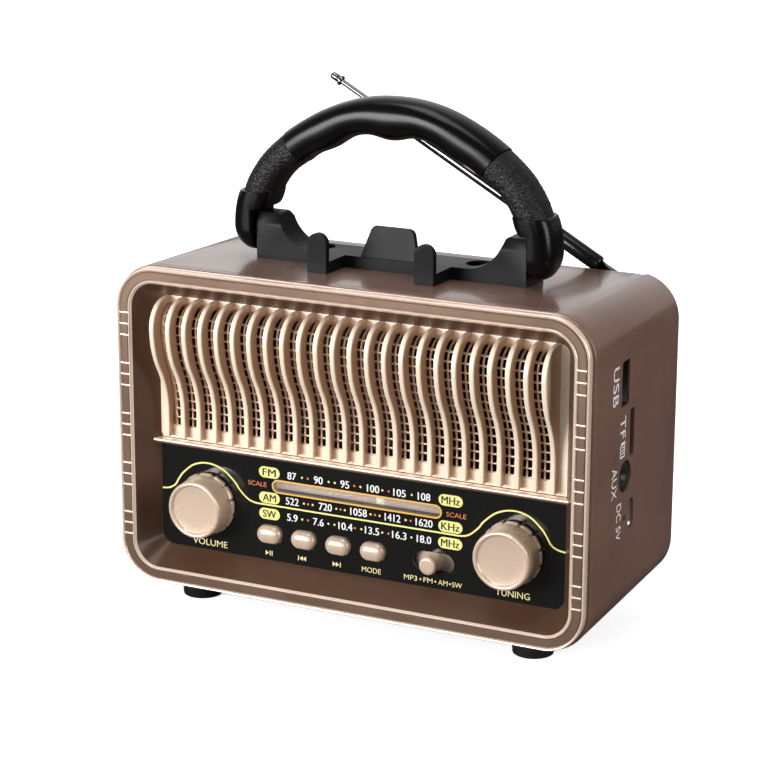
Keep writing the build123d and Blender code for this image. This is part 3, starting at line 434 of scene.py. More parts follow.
def facing(outline, y):
    """Front-view outline at a depth."""
    return [(x, y, z) for x, z in outline]


def slab(shape, outline, y0, y1):
    """Plate between two depths."""
    return shape.skin([facing(outline, y0), facing(outline, y1)])


def band(shape, outer, inner, y0, y1):
    """Flat ring between two outlines."""
    rings = [facing(outer, y0), facing(inner, y0), facing(inner, y1), facing(outer, y1)]
    return shape.skin(rings, loop=True)


def lathe(profile, steps=96):
    """Rings about the local z axis from (radius, height) pairs."""
    rings = []
    for radius, height in profile:
        radius = max(radius, 0.001)
        rings.append([(radius * math.cos(math.tau * i / steps),
                       radius * math.sin(math.tau * i / steps), height) for i in range(steps)])
    return rings


def inset(outline, distance, fixed=()):
    """Moves an outline inwards along its own normals, except for the fixed points."""
    count, moved = len(outline), []
    for i, (x, z) in enumerate(outline):
        if i in fixed:
            moved.append((x, z))
            continue
        before, after = outline[i - 1], outline[(i + 1) % count]
        a = Vector((x - before[0], z - before[1])).normalized()
        b = Vector((after[0] - x, after[1] - z)).normalized()
        normal = Vector((-(a.y + b.y), a.x + b.x))
        normal = normal.normalized() if normal.length > 1e-6 else Vector((-a.y, a.x))
        share = max(0.5, normal.dot(Vector((-a.y, a.x))))
        moved.append((x + normal.x * distance / share, z + normal.y * distance / share))
    return moved


def smooth_curve(points, steps):
    """Catmull-Rom curve through the points, in equal parameter steps."""
    ends = [[2 * a - b for a, b in zip(points[0], points[1])],
            [2 * a - b for a, b in zip(points[-1], points[-2])]]
    knots = [ends[0], *points, ends[1]]
    curve = []
    spans = len(points) - 1
    for i in range(steps + 1):
        place = spans * i / steps
        k = min(int(place), spans - 1)
        t = place - k
        p0, p1, p2, p3 = knots[k:k + 4]
        curve.append(tuple(0.5 * (2 * b + (c - a) * t + (2 * a - 5 * b + 4 * c - d) * t * t
                                  + (3 * b - a - 3 * c + d) * t ** 3)
                           for a, b, c, d in zip(p0, p1, p2, p3)))
    return curve


# ---- Casing ---------------------------------------------------------------------

def cabinet_outline(y, shrink):
    """Section of the cabinet, which tapers a little towards the back."""
    share = (y - CAB_FRONT) / (CAB_REAR - CAB_FRONT)
    low = -0.4 + share * 2.3 + shrink
    high = 97.1 - share * 1.8 - shrink
    outline = rounded_rect(2 * (CAB_HALF_W - shrink), high - low, CAB_R - shrink, 0,
                           (low + high) / 2, 20)
    return facing(outline, y)


def rim_ring(y, shrink):
    """Ring of the cabinet. Behind the cover the rim is left out along the top."""
    ring = cabinet_outline(y, shrink)
    if y < CAB_REAR:
        return ring
    flat = CAB_HALF_W - CAB_R + 0.19 * (CAB_R - shrink)
    return [(x, y - 2.2 if z > LIP_Z and abs(x) < flat else y, z) for x, y, z in ring]


def make_cabinet():
    """Moulded body: soft rims at both ends and a fine groove just behind the front rim."""
    sections = [(2.1, WALL), (2.1, 0.55), (2.2, 0.25), (2.45, 0.06), (2.8, 0.0), (4.9, 0.0),
                (5.0, 0.1), (5.25, 0.1), (5.35, 0.0), (CAB_REAR + 1.2, 0.0),
                (CAB_REAR + 1.7, 0.12), (CAB_REAR + 2.05, 0.42), (CAB_REAR + 2.2, 0.85),
                (CAB_REAR + 2.2, WALL)]
    shape = Shape().skin([rim_ring(y, shrink) for y, shrink in sections], loop=True)
    cabinet = piece("cabinet_shell", shape, "cabinet_finish", stands_for=("cabinet",))
    cutters = []
    for (y, z), (width, height), radius in PORTS:
        outline = rounded_rect(width, height, radius, y, z, 8)
        rings = [[(x, a, b) for a, b in outline] for x in (70.0, 80.0)]
        cutters.append(Shape().skin(rings))
    for x in (-33.0, 33.0):
        rings = lathe([(1.6, 90.0), (1.6, 99.0)], 24)
        cutters.append(Shape().skin([[(x + a, PIVOT_Y + b, c) for a, b, c in ring]
                                     for ring in rings]))
    subtract(cabinet, cutters)


def bezel_outline(t):
    """Outline of the bezel at a distance in from its outer edge."""
    return rounded_rect(BEZEL_W - 2 * t, BEZEL_H - 2 * t, max(BEZEL_R - t, 0.3), 0, LIP_Z, 20)


def make_bezel():
    """Bronze frame: a bead at each edge of a brushed band, then the brown funnel. Beads and cross ribs
    are painted much lighter than the band, as a painted highlight.
    """
    band_profile = [
        (3.5, 1.9), (0.25, 1.9), (0.0, 1.65), (0.0, 0.35), (0.06, 0.06), (0.2, -0.12),
        (0.4, -0.22), (0.58, -0.18), (0.74, -0.02), (0.84, 0.22), (0.92, 0.42), (1.12, 0.42),
        (1.2, 0.16), (1.3, 0.08), (3.3, 0.08), (3.4, 0.16), (3.46, 0.34), (3.6, 0.34),
        (3.68, 0.1), (3.78, -0.1), (3.92, -0.22), (4.08, -0.2), (4.22, -0.06), (4.34, 0.12),
        (4.6, 0.34),
    ]
    rings = [facing(bezel_outline(t), y) for t, y in band_profile]
    # Tag 1 gives both beads the light bead colour, a painted highlight.
    tags = [1] * 10 + [0] * 7 + [1] * 8
    for share in (0.0, 0.02, 0.25, 0.5, 0.75, 1.0):
        outline = rounded_rect(140.4 + share * (131.2 - 140.4), 87.6 + share * (77.4 - 87.6),
                               7.8 - 4.5 * share, 0, LIP_Z, 20)
        rings.append(facing(outline, 0.45 + share * (PLATE_Y - 0.45)))
        tags.append(2)
    rings.append(facing(rounded_rect(134.4, 80.6, 4.8, 0, LIP_Z, 20), PLATE_Y))
    rings.append(facing(rounded_rect(143.4, 90.6, 8.4, 0, LIP_Z, 20), 2.4))
    tags += [2, 2]
    shape = Shape().skin(rings, tags, loop=True)
    for side in (-1, 1):
        for middle in (79.0, 63.6, 48.1, 32.7, 17.3):
            for offset in (-3.4, 0.0, 3.4):
                make_rib(shape, side, middle + offset)
    add_skirt(shape)
    piece("bezel_frame", shape, ["bezel_bronze", "bezel_bead_painted_highlight", "bezel_funnel"],
          stands_for=("front_bezel",))


def make_rib(shape, side, z):
    """Raised cross rib on the side band of the bezel, with rounded long edges."""
    outline = [(0.32, 0.3), (0.3, -0.02), (0.2, -0.16), (0.0, -0.21), (-0.2, -0.16), (-0.3, -0.02),
               (-0.32, 0.3)]
    rings = [[(side * x, y, z + dz) for dz, y in outline] for x in (71.05, 73.95)]
    # The ribs take the light bead colour as a painted highlight.
    shape.skin(rings, 1)


def add_skirt(shape):
    """Wall behind the flange that slides into the cabinet, and the four screw posts."""
    rings = []
    for y, shrink in ((1.8, 2.55), (12.8, 2.55), (13.0, 2.75), (13.0, 4.15), (12.8, 4.35),
                      (1.8, 4.35)):
        rings.append(cabinet_outline(max(y, 1.8), shrink))
    shape.skin(rings, 2, loop=True)
    for x in (-69.4, 69.4):
        for z in (12.5, 84.7):
            profile = [(3.5, 10.6), (3.5, 44.8), (3.3, 45.0), (1.5, 45.0), (1.5, 31.0), (0.01, 31.0),
                       (0.01, 10.6)]
            rings = [[(x + a, c, z + b) for a, b, c in ring] for ring in lathe(profile, 32)]
            shape.skin(rings, 2, loop=True)


def make_grille():
    """Baffle with the mesh opening and the row of wave-shaped fins, one moulding."""
    shape = Shape()
    high, middle = MESH_Z1 - MESH_Z0, (MESH_Z0 + MESH_Z1) / 2
    outer = clipped_plate(FIN_Z0)
    opening = rounded_rect(MESH_W, high, 2.6, 0, middle, 14)
    band(shape, outer, opening, PLATE_Y, PLATE_Y + 0.45)
    back_outer = clipped_plate(FIN_Z0 - 1.0)
    back_opening = rounded_rect(MESH_W + 2.0, high + 2.0, 3.4, 0, middle, 14)
    band(shape, back_outer, back_opening, PLATE_Y + 0.45, PLATE_Y + 2.0)
    for i in range(FINS):
        make_fin(shape, (i - (FINS - 1) / 2) * FIN_PITCH, i in (0, FINS - 1))
    piece("grille_fins", shape, ["grille_gold", "grille_painted_shade"], stands_for=("grille",), smooth=50.0)


def make_rail():
    """Trim line between grille and dial: a bead painted light as a highlight, on a brown strip."""
    shape = Shape()
    low, seam = RAIL_Z - 0.7, RAIL_Z + 0.1
    strip = [(PLATE_Y, low), (6.55, low), (6.45, low + 0.1), (6.45, seam), (PLATE_Y, seam)]
    turns = [math.radians(-90 - 18 * i) for i in range(11)]
    bead = [(6.5 + 0.45 * math.cos(a), RAIL_Z + 0.25 + 0.45 * math.sin(a)) for a in turns]
    bead += [(PLATE_Y, RAIL_Z + 0.7), (PLATE_Y, RAIL_Z - 0.2)]
    for tag, outline in enumerate((strip, bead)):
        shape.skin([[(x, y, z) for y, z in outline] for x in (-68.3, 68.3)], tag)
    piece("rail_trim", shape, ["bezel_funnel", "bezel_bead_painted_highlight"], stands_for=("divider_rail",))


def make_vent_shade_cloth():
    """Thin dark sheet inside the back cover, over the vent slots: it stops light showing through the
    vents and grille holes, so they read as shade.
    """
    shape = Shape()
    slab(shape, rounded_rect(52.0, 28.0, 2.0, 0, 72.0, 6), COVER_INSIDE - 0.3, COVER_INSIDE - 0.05)
    piece("dust_cloth", shape, "dust_cloth")


def clipped_plate(bottom):
    """Front outline of the baffle: square at the bottom, rounded at the top."""
    points = rounded_rect(137.0, 85.4, 6.4, 0, LIP_Z, 14)
    return [(x, max(z, bottom)) for x, z in points]


def wave(foot, nose, top, low):
    """Side line (y, z) of a fin or of the sheet: straight foot, S in two arcs, round crown."""
    rise, swing = (WAVE_Z1 - WAVE_Z0) / 2, (foot - nose) / 2
    radius = (rise ** 2 + swing ** 2) / (2 * swing)
    reach = math.asin(rise / radius)
    line = [(foot, low), (foot, (low + WAVE_Z0) / 2)]
    line += [(foot - radius * (1 - math.cos(reach * i / 16)), WAVE_Z0 + radius * math.sin(reach * i / 16))
             for i in range(17)]
    line += [(nose + radius * (1 - math.cos(reach * i / 16)), WAVE_Z1 - radius * math.sin(reach * i / 16))
             for i in range(15, -1, -1)]
    crown = top - WAVE_Z1
    line += [(nose + crown * (1 - math.cos(math.pi / 2 * i / 16)),
              WAVE_Z1 + crown * math.sin(math.pi / 2 * i / 16)) for i in range(1, 17)]
    return line


def make_fin(shape, x, deep):
    """A fin with rounded front edges; the end ones are deep, the others stop at the sheet."""
    front = wave(FIN_FOOT, FIN_NOSE, FIN_Z1, FIN_Z0)
    rear = [(PLATE_Y + 0.3, FIN_Z1), (PLATE_Y + 0.3, MESH_Z1 + 0.05)]
    if not deep:
        rear += reversed(wave(SHEET_FOOT, SHEET_NOSE, MESH_Z1 + 0.1, MESH_Z0))
    rear += [(PLATE_Y + 0.3, MESH_Z0), (PLATE_Y + 0.3, FIN_Z0)]
    outline = front + rear
    fixed = (0, *range(len(front) - 1, len(outline)))
    edge = 0.4
    rings = []
    for side in (-1, 1):
        layers = []
        for i in range(6):
            a = math.pi / 2 * i / 5
            shrink = edge * (1 - math.sin(a))
            across = FIN_T / 2 - edge * (1 - math.cos(a))
            moved = inset(outline, -shrink, fixed)
            layers.append([(x + side * across, y, z) for y, z in moved])
        rings += layers if side < 0 else list(reversed(layers))
    # The first and last strips are the fin's flat sides; they take the darker bronze as painted shade.
    shape.skin(rings, [1] + [0] * (len(rings) - 2) + [1])


# ---- Controls -------------------------------------------------------------------

def make_knob(name, body, x, stands_for):
    """Drum with a raised round rim, a slightly dished face and a notched foot."""
    profile = [(3.0, 6.6, 0), (3.0, 0.0, 0), (8.9, 0.0, 1), (9.3, 0.12, 1), (9.42, 0.4, 1),
               (9.42, 1.15, 1), (9.3, 1.42, 1), (9.05, 1.62, 0.35), (9.0, 1.8, 0), (8.9, 4.0, 0),
               (8.8, 6.6, 0), (8.74, 7.9, 0), (8.66, 8.35, 0), (8.45, 8.68, 0), (8.1, 8.82, 0),
               (7.75, 8.78, 0), (7.45, 8.55, 0), (7.25, 8.22, 0), (7.1, 8.05, 0), (6.6, 7.98, 0),
               (4.5, 7.86, 0), (2.2, 7.82, 0), (0.001, 7.8, 0)]
    steps, notches = 192, 12
    rings = []
    for radius, height, notched in profile:
        ring = []
        for i in range(steps):
            a = math.tau * i / steps
            turn = (a * notches / math.tau) % 1.0
            from_notch = abs(turn - 0.5) * math.tau / notches * 9.4
            r = radius - notched * max(0.0, 0.62 - from_notch)
            ring.append((x + r * math.cos(a), 8.2 - height, KNOB_Z + r * math.sin(a)))
        rings.append(ring)
    rings.insert(0, [(x + 0.001 * math.cos(math.tau * i / steps), 8.2 - 6.6,
                      KNOB_Z + 0.001 * math.sin(math.tau * i / steps)) for i in range(steps)])
    piece(name, Shape().skin(rings), "control_gold", body, stands_for, smooth=40.0)


def make_button(name, body, x):
    """Domed stadium cap on a flange, with its stem."""
    shape = Shape()
    width, height = 8.2, 5.6
    rings = [facing(stadium(width + 1.8, height + 1.8, x, BUTTON_Z), 11.6),
             facing(stadium(width + 1.8, height + 1.8, x, BUTTON_Z), 10.6),
             facing(stadium(width, height, x, BUTTON_Z), 10.55)]
    rings.append(facing(stadium(width, height, x, BUTTON_Z), 8.6))
    for i in range(1, 15):
        a = math.pi / 2 * i / 14
        shrink = 2.5 * (1 - math.cos(a)) ** 1.15
        y = 8.6 - 2.4 * math.sin(a) ** 0.95
        rings.append(facing(stadium(width - 2 * shrink, height - 2 * shrink, x, BUTTON_Z), y))
    shape.skin(rings)
    stem = [[(x + a, c, BUTTON_Z + b) for a, b, c in ring]
            for ring in lathe([(1.5, 11.5), (1.5, 15.8), (1.3, 16.0)], 32)]
    shape.skin(stem)
    piece(name, shape, "control_gold", body, (name.replace("_cap", "_button"),))


# ---- Prints ---------------------------------------------------------------------

class Print(Shape):
    """Ink on the dial plate or on the side wall, a few hundredths of a millimetre thick."""

    def text(self, words, x, z, width, height, lift=0.0, side=False):
        """Writes words centred on a place, stretched to a measured width and height."""
        curve = bpy.data.curves.new("words", "FONT")
        curve.body = words
        curve.extrude = 0.05
        curve.resolution_u = 4
        holder = bpy.data.objects.new("words", curve)
        bpy.context.scene.collection.objects.link(holder)
        bpy.context.view_layer.update()
        depsgraph = bpy.context.evaluated_depsgraph_get()
        mesh = bpy.data.meshes.new_from_object(holder.evaluated_get(depsgraph))
        xs = [v.co.x for v in mesh.vertices]
        zs = [v.co.y for v in mesh.vertices]
        start = len(self.points)
        for v in mesh.vertices:
            u = (v.co.x - (min(xs) + max(xs)) / 2) * width / (max(xs) - min(xs))
            w = (v.co.y - (min(zs) + max(zs)) / 2) * height / (max(zs) - min(zs))
            out = 0.03 if v.co.z > 0 else -0.02
            if side:
                self.points.append((CAB_HALF_W + out, x + w, z - u))
            else:
                self.points.append((x + u, PLATE_Y - out - lift, z + w))
        for polygon in mesh.polygons:
            self.face(tuple(start + i for i in polygon.vertices))
        bpy.data.objects.remove(holder)
        return self

    def shape_at(self, outline):
        return slab(self, outline, PLATE_Y - 0.03, PLATE_Y + 0.02)

    def line(self, points, width):
        """Ribbon along a path."""
        rings = []
        for i, (x, z) in enumerate(points):
            before, after = points[max(i - 1, 0)], points[min(i + 1, len(points) - 1)]
            along = Vector((after[0] - before[0], after[1] - before[1])).normalized()
            nx, nz = -along.y * width / 2, along.x * width / 2
            rings.append([(x + nx, PLATE_Y - 0.03, z + nz), (x - nx, PLATE_Y - 0.03, z - nz),
                          (x - nx, PLATE_Y + 0.02, z - nz), (x + nx, PLATE_Y + 0.02, z + nz)])
        return self.skin(rings)

    def dot(self, x, z, radius):
        return self.shape_at(rounded_rect(2 * radius, 2 * radius, radius - 0.001, x, z, 5))


SCALES = {
    36.8: ((("87", -21.3), ("90", -12.5), ("95", -3.8), ("100", 5.4), ("105", 13.9), ("108", 21.7)),
           (-17.9, -16.0, -9.1, -7.1, -0.7, 1.3, 8.4, 10.4, 17.8)),
    28.95: ((("522", -21.2), ("720", -10.2), ("1058", 0.7), ("1412", 11.7), ("1620", 21.8)),
            (-17.3, -15.9, -14.4, -6.6, -5.2, -3.8, 4.6, 6.0, 7.5, 15.9, 17.5)),
    23.95: ((("5.9", -21.2), ("7.6", -12.5), ("10.4", -3.6), ("13.5", 5.1), ("16.3", 13.9),
             ("18.0", 21.8)),
            (-17.9, -16.0, -9.2, -7.2, -0.5, 1.6, 8.4, 10.4, 17.8)),
}
DIGIT_W = {"1": 1.08, ".": 0.62}


def words_width(words):
    return sum(DIGIT_W.get(c, 1.42) for c in words)


def make_dial_print():
    white, yellow, cream, orange, gold, dark = (Print() for _ in range(6))
    for z, (numbers, dots) in SCALES.items():
        for words, x in numbers:
            for nudge in (-0.05, 0.05):
                white.text(words, x + nudge, z, words_width(words), 2.25, lift=0.01 + nudge / 20)
        for i, x in enumerate(dots):
            (orange if i % 3 == 1 else yellow).dot(x, z, 0.33)
    for words, x, z in (("FM", -28.85, 36.85), ("AM", -28.85, 29.0), ("SW", -28.85, 24.0),
                        ("MHz", 30.1, 36.85), ("KHz", 30.1, 29.0), ("MHz", 30.1, 24.0)):
        width = 6.95 if x < 0 else 7.6
        yellow.shape_at(stadium(width, 3.4, x, z, 10))
        for nudge in (-0.07, 0.0, 0.07):
            dark.text(words, x + nudge, z, 4.4 if x < 0 else 5.7, 2.25, lift=0.03 + nudge / 20)
    half = [(-68.4, 26.8), (-65.7, 26.9), (-63.2, 27.3), (-61.2, 28.5), (-60.0, 30.4),
            (-58.2, 32.8), (-54.4, 35.8), (-49.6, 36.8), (-44.6, 35.5), (-40.7, 32.4),
            (-38.9, 30.1), (-36.2, 27.7), (-33.6, 26.85), (-30.0, 26.8)]
    left = smooth_curve(half, 90)
    yellow.line(left + [(-x, z) for x, z in reversed(left)], 0.5)
    outline = stadium(55.4, 4.2, -0.3, 32.9, 16)
    band(gold, outline, inset(outline, 0.5), PLATE_Y - 0.04, PLATE_Y + 0.02)
    orange.text("SCALE", -32.9, 32.9, 6.2, 1.4)
    orange.text("SCALE", 31.9, 32.7, 6.2, 1.4)
    cream.text("VOLUME", -49.35, 11.9, 11.9, 2.0)
    cream.text("TUNING", 49.8, 11.9, 10.6, 2.0)
    cream.text("MODE", 4.9, 11.8, 6.2, 1.6)
    cream.text("MP3", 17.6, 11.7, 4.2, 1.55)
    cream.text("FM", 23.2, 11.7, 2.9, 1.5)
    cream.text("AM", 27.9, 11.7, 3.0, 1.5)
    cream.text("SW", 32.4, 11.7, 3.2, 1.5)
    for x in (20.75, 25.55, 30.15):
        cream.dot(x, 11.7, 0.3)
    symbols(cream)
    for name, ink, tone in (("white", white, "print_white"), ("yellow", yellow, "print_yellow"),
                            ("cream", cream, "print_cream"), ("orange", orange, "print_orange"),
                            ("gold", gold, "print_gold"), ("dark", dark, "print_dark")):
        piece(f"dial_print_{name}", ink, tone, smooth=20.0)


def symbols(ink):
    """Play and pause, back one track, forward one track."""
    def triangle(x, z, w, h):
        ink.shape_at([(x - w / 2, z - h / 2), (x + w / 2, z), (x - w / 2, z + h / 2)])

    def bar(x, z, w, h):
        ink.shape_at([(x - w / 2, z - h / 2), (x + w / 2, z - h / 2), (x + w / 2, z + h / 2),
                      (x - w / 2, z + h / 2)])

    z, h = 11.8, 1.5
    triangle(-29.7, z, 1.1, h)
    bar(-28.75, z, 0.3, h)
    bar(-28.1, z, 0.3, h)
    bar(-19.2, z, 0.3, h)
    triangle(-18.3, z, -1.1, h)
    triangle(-17.2, z, -1.1, h)
    triangle(-7.3, z, 1.1, h)
    triangle(-6.2, z, 1.1, h)
    bar(-5.3, z, 0.3, h)


def make_side_print():
    """Port names beside the sockets, reading downwards."""
    ink = Print()
    ink.text("USB", 17.4, 73.9, 11.2, 4.2, side=True)
    ink.text("TF", 23.7, 60.7, 6.4, 4.0, side=True)
    ink.text("AUX", 18.0, 45.7, 9.2, 3.8, side=True)
    ink.text("DC 5V", 22.1, 33.3, 10.8, 3.4, side=True)
    card = [(21.9, 51.9), (25.6, 51.9), (25.6, 56.4), (22.9, 56.4), (21.9, 55.2)]
    hole = inset(card, 0.45)
    rings = []
    for x, outline in ((CAB_HALF_W + 0.03, card), (CAB_HALF_W + 0.03, hole),
                       (CAB_HALF_W - 0.02, hole), (CAB_HALF_W - 0.02, card)):
        rings.append([(x, y, z) for y, z in outline])
    ink.skin(rings, loop=True)
    for i in range(4):
        z = 53.0 + 0.85 * i
        rings = [[(x, y, z + dz) for y, dz in ((22.9, 0), (24.9, 0), (24.9, 0.35), (22.9, 0.35))]
                 for x in (CAB_HALF_W - 0.02, CAB_HALF_W + 0.03)]
        ink.skin(rings)
    piece("side_print", ink, "print_white", smooth=20.0)


# ---- Handle ---------------------------------------------------------------------

def handle_path():
    """Stations along the right half of the handle: outer point and outward normal."""
    points = smooth_curve([(-8.8, 146.3)] + HANDLE_OUTER, 900)
    stations, length = [], 0.0
    for i in range(1, len(points) - 1):
        along = Vector((points[i + 1][0] - points[i - 1][0], points[i + 1][1] - points[i - 1][1]))
        along.normalize()
        normal = Vector((-along.y, along.x))
        if points[i][0] >= -0.01:
            stations.append((length, points[i], normal))
            length += math.dist(points[i], points[i + 1])
    return stations


def handle_depth(length):
    """Thickness of the handle along the arch, with the waves for the fingers."""
    waves = 2.2 * math.exp(-(length / 7.5) ** 2)
    waves += 1.1 * math.exp(-((length - 25.5) / 6.0) ** 2)
    waves += 0.5 * math.exp(-((length - 38.5) / 5.0) ** 2)
    return 10.4 + waves


def handle_ring(station, trim, depth, steps=40):
    """Cross-section of the handle: a softened rectangle, 14 mm deep."""
    _, (x, z), normal = station
    thick = depth - 2 * trim
    exponent = 2.5
    ring = []
    for i in range(steps):
        a = math.tau * i / steps
        c, s = math.cos(a), math.sin(a)
        u = math.copysign(abs(c) ** (2 / exponent), c) * (7.0 - trim)
        v = math.copysign(abs(s) ** (2 / exponent), s) * thick / 2
        down = depth / 2 - v
        ring.append((x - normal.x * down, PIVOT_Y + u, z - normal.y * down))
    return ring


def make_handle():
    stations = handle_path()
    grip = [s for s in stations if s[1][0] <= SEAM_X][::4]
    sleeve = [s for s in stations if SEAM_X < s[1][0] and s[1][1] > 115.0]
    right = [handle_ring(s, 0.0, handle_depth(s[0])) for s in grip]
    end = grip[-1]
    right += [handle_ring(end, 0.12, handle_depth(end[0])), handle_ring(end, 0.6, handle_depth(end[0]))]
    left = [[(-x, y, z) for x, y, z in ring] for ring in reversed(right[1:])]
    shape = Shape().skin(left + right)
    piece("grip", shape, "grip_black", "handle", ("handle_grip",), smooth=60.0)
    make_sleeves(sleeve)
    make_end_caps()


def make_sleeves(stations):
    """Leather-look sleeves: every point is lifted by the pebbled grain."""
    shape = Shape()
    rings = [handle_ring(stations[0], 0.9, handle_depth(stations[0][0]), 150)]
    for station in stations[::2]:
        ring = []
        for x, y, z in handle_ring(station, 0.3, handle_depth(station[0]), 150):
            distances, _ = noise.voronoi(Vector((x, y, z)) * 1.05)
            lift = 0.13 * (min(1.0, (distances[1] - distances[0]) / 0.45) - 0.5)
            outward = Vector((x - station[1][0] + station[2].x * 4.75, y - PIVOT_Y,
                              z - station[1][1] + station[2].y * 4.75)).normalized()
            ring.append((x + outward.x * lift, y + outward.y * lift, z + outward.z * lift))
        rings.append(ring)
    rings.append(handle_ring(stations[-1], 0.9, handle_depth(stations[-1][0]), 150))
    piece("leather_sleeves", shape.skin(rings).mirrored(), "leather_look", "handle",
          ("handle_sleeves",), smooth=80.0)


def level(curve, z):
    """Second value of a curve of (z, value) points at a height."""
    for (z0, a), (z1, b) in zip(curve, curve[1:]):
        if z <= z1:
            return a + (b - a) * max(0.0, (z - z0) / (z1 - z0))
    return curve[-1][1]


def make_end_caps():
    """Smooth boss round the pivot, with a collar above that holds the sleeve."""
    heights = smooth_curve(CAP_SIDE, 72)
    inner_curve = smooth_curve(CAP_INNER, 40)
    rings = []
    for z, outer in heights:
        if z < LEDGE_Z:
            below = max(0.0, PIVOT_Z - z)
            half = 7.5 * math.sqrt(max(0.0, 1 - (below / 7.52) ** 2))
            rings.append(cap_ring(z, 44.3, outer, max(half, 0.4), 0.5))
    outer = level(heights, LEDGE_Z)
    rings.append(cap_ring(LEDGE_Z, 44.3, outer, 7.5, 0.5))
    rings.append(cap_ring(LEDGE_Z + 0.02, 41.6, outer, 7.5, 2.4))
    for z, outer in heights:
        if z > LEDGE_Z:
            rings.append(cap_ring(z, level(inner_curve, z), outer, 7.5, 2.8))
    top = heights[-1][0]
    rings.append(cap_ring(top + 0.12, 39.3, outer - 0.3, 7.2, 2.6))
    rings.append(cap_ring(top - 0.2, 39.9, outer - 0.9, 6.6, 2.4))
    piece("end_caps", Shape().skin(rings).mirrored(), "grip_black", "handle",
          ("handle_end_caps",), smooth=50.0)


def cap_ring(z, inner, outer, half, edge):
    """Level section of an end cap, rounded more on its outer side."""
    width = outer - inner
    soft = min(5.2, width * 0.8, half * 0.9)
    ring = []
    for i in range(13):
        a = -math.pi / 2 + math.pi / 2 * i / 12
        ring.append((outer - soft + soft * math.cos(a), PIVOT_Y - half + soft + soft * math.sin(a), z))
    for i in range(13):
        a = math.pi / 2 * i / 12
        ring.append((outer - soft + soft * math.cos(a), PIVOT_Y + half - soft + soft * math.sin(a), z))
    edge = min(edge, half * 0.4)
    for i in range(5):
        a = math.pi / 2 + math.pi / 2 * i / 4
        ring.append((inner + edge + edge * math.cos(a), PIVOT_Y + half - edge + edge * math.sin(a), z))
    for i in range(5):
        a = math.pi + math.pi / 2 * i / 4
        ring.append((inner + edge + edge * math.cos(a), PIVOT_Y - half + edge + edge * math.sin(a), z))
    return ring


# ---- Antenna and feet -----------------------------------------------------------

def on_antenna(rings):
    """Places rings drawn along z, from the tilt pin, on the antenna's resting line."""
    c, s = math.cos(ANT_ANGLE), math.sin(ANT_ANGLE)
    x0, y0, z0 = ANT_AT
    return [[(x0 + x * s - z * c, y0 + y, z0 + x * c + z * s) for x, y, z in ring]
            for ring in rings]


def make_antenna():
    sleeve = [(1.42, 13.5), (1.9, 13.5), (2.3, 13.65), (2.48, 14.0), (2.5, 14.5), (2.5, 30.2),
              (2.42, 30.7), (2.2, 31.0), (1.42, 31.0)]
    piece("antenna_grip", Shape().skin(on_antenna(lathe(sleeve, 64)), loop=True), "antenna_black",
          "antenna_lower", ("antenna_sleeve",))
    tube = [(1.15, 13.5), (1.4, 13.5), (1.62, 31.0), (1.62, 100.2), (1.5, 100.9), (1.12, 101.0),
            (1.1, 100.6), (1.15, 100.0)]
    piece("antenna_tube", Shape().skin(on_antenna(lathe(tube, 64)), loop=True), "chrome",
          "antenna_lower", ("antenna_outer_tube",))
    rod = [(0.001, 24.0), (0.8, 24.0), (0.8, 111.9), (1.4, 112.0), (1.55, 112.15), (1.55, 112.65),
           (1.4, 112.8), (1.05, 112.85), (1.0, 113.1), (1.1, 113.5), (1.1, 115.2), (0.95, 115.75),
           (0.6, 116.0), (0.001, 116.0)]
    piece("antenna_tip", Shape().skin(on_antenna(lathe(rod, 64))), "chrome", "antenna_upper",
          ("antenna_rod",))


def make_feet():
    """Rubber feet with a soft bottom edge and a shallow dish underneath."""
    shape = Shape()
    profile = [(0.001, -5.9), (4.2, -5.9), (4.8, -6.22), (5.3, -6.3), (5.7, -6.27), (5.92, -6.12),
               (6.02, -5.85), (6.35, 2.2), (0.001, 2.2)]
    for x in (-54.6, 54.6):
        for y, top in ((13.0, -0.02), (53.0, 1.42)):
            rings = []
            for radius, height in profile:
                level = min(height, top)
                rings.append([(x + a, y + b, level) for a, b, _ in lathe([(radius, 0)], 64)[0]])
            shape.skin(rings)
    piece("rubber_feet", shape, "foot_rubber", stands_for=("feet",))


# ---- CAD pieces that are shown as they are --------------------------------------

def dress_cad_nodes():
    """Finishes and softened edges for the CAD nodes that stay visible."""
    for name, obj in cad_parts.items():
        if obj.hide_render:
            continue
        tone = SLOTS[name]
        obj.data.materials.clear()
        obj.data.materials.append(FINISH[tone])
        obj.data.polygons.foreach_set("use_smooth", [True] * len(obj.data.polygons))
        weld = obj.modifiers.new("weld", "WELD")
        weld.merge_threshold = 0.000002
        width = BEVELS.get(name)
        if width:
            bevel = obj.modifiers.new("bevel", "BEVEL")
            bevel.width, bevel.segments = width * MM, 3
            bevel.limit_method, bevel.angle_limit = "ANGLE", math.radians(40)
            bevel.use_clamp_overlap = True
            even = obj.modifiers.new("even", "WEIGHTED_NORMAL")
            even.keep_sharp = False


BEVELS = {"holder_tray": 0.3, "back_cover": 0.25, "battery_door": 0.25, "dial_plate": 0.1,
          "back_screws": 0.08}

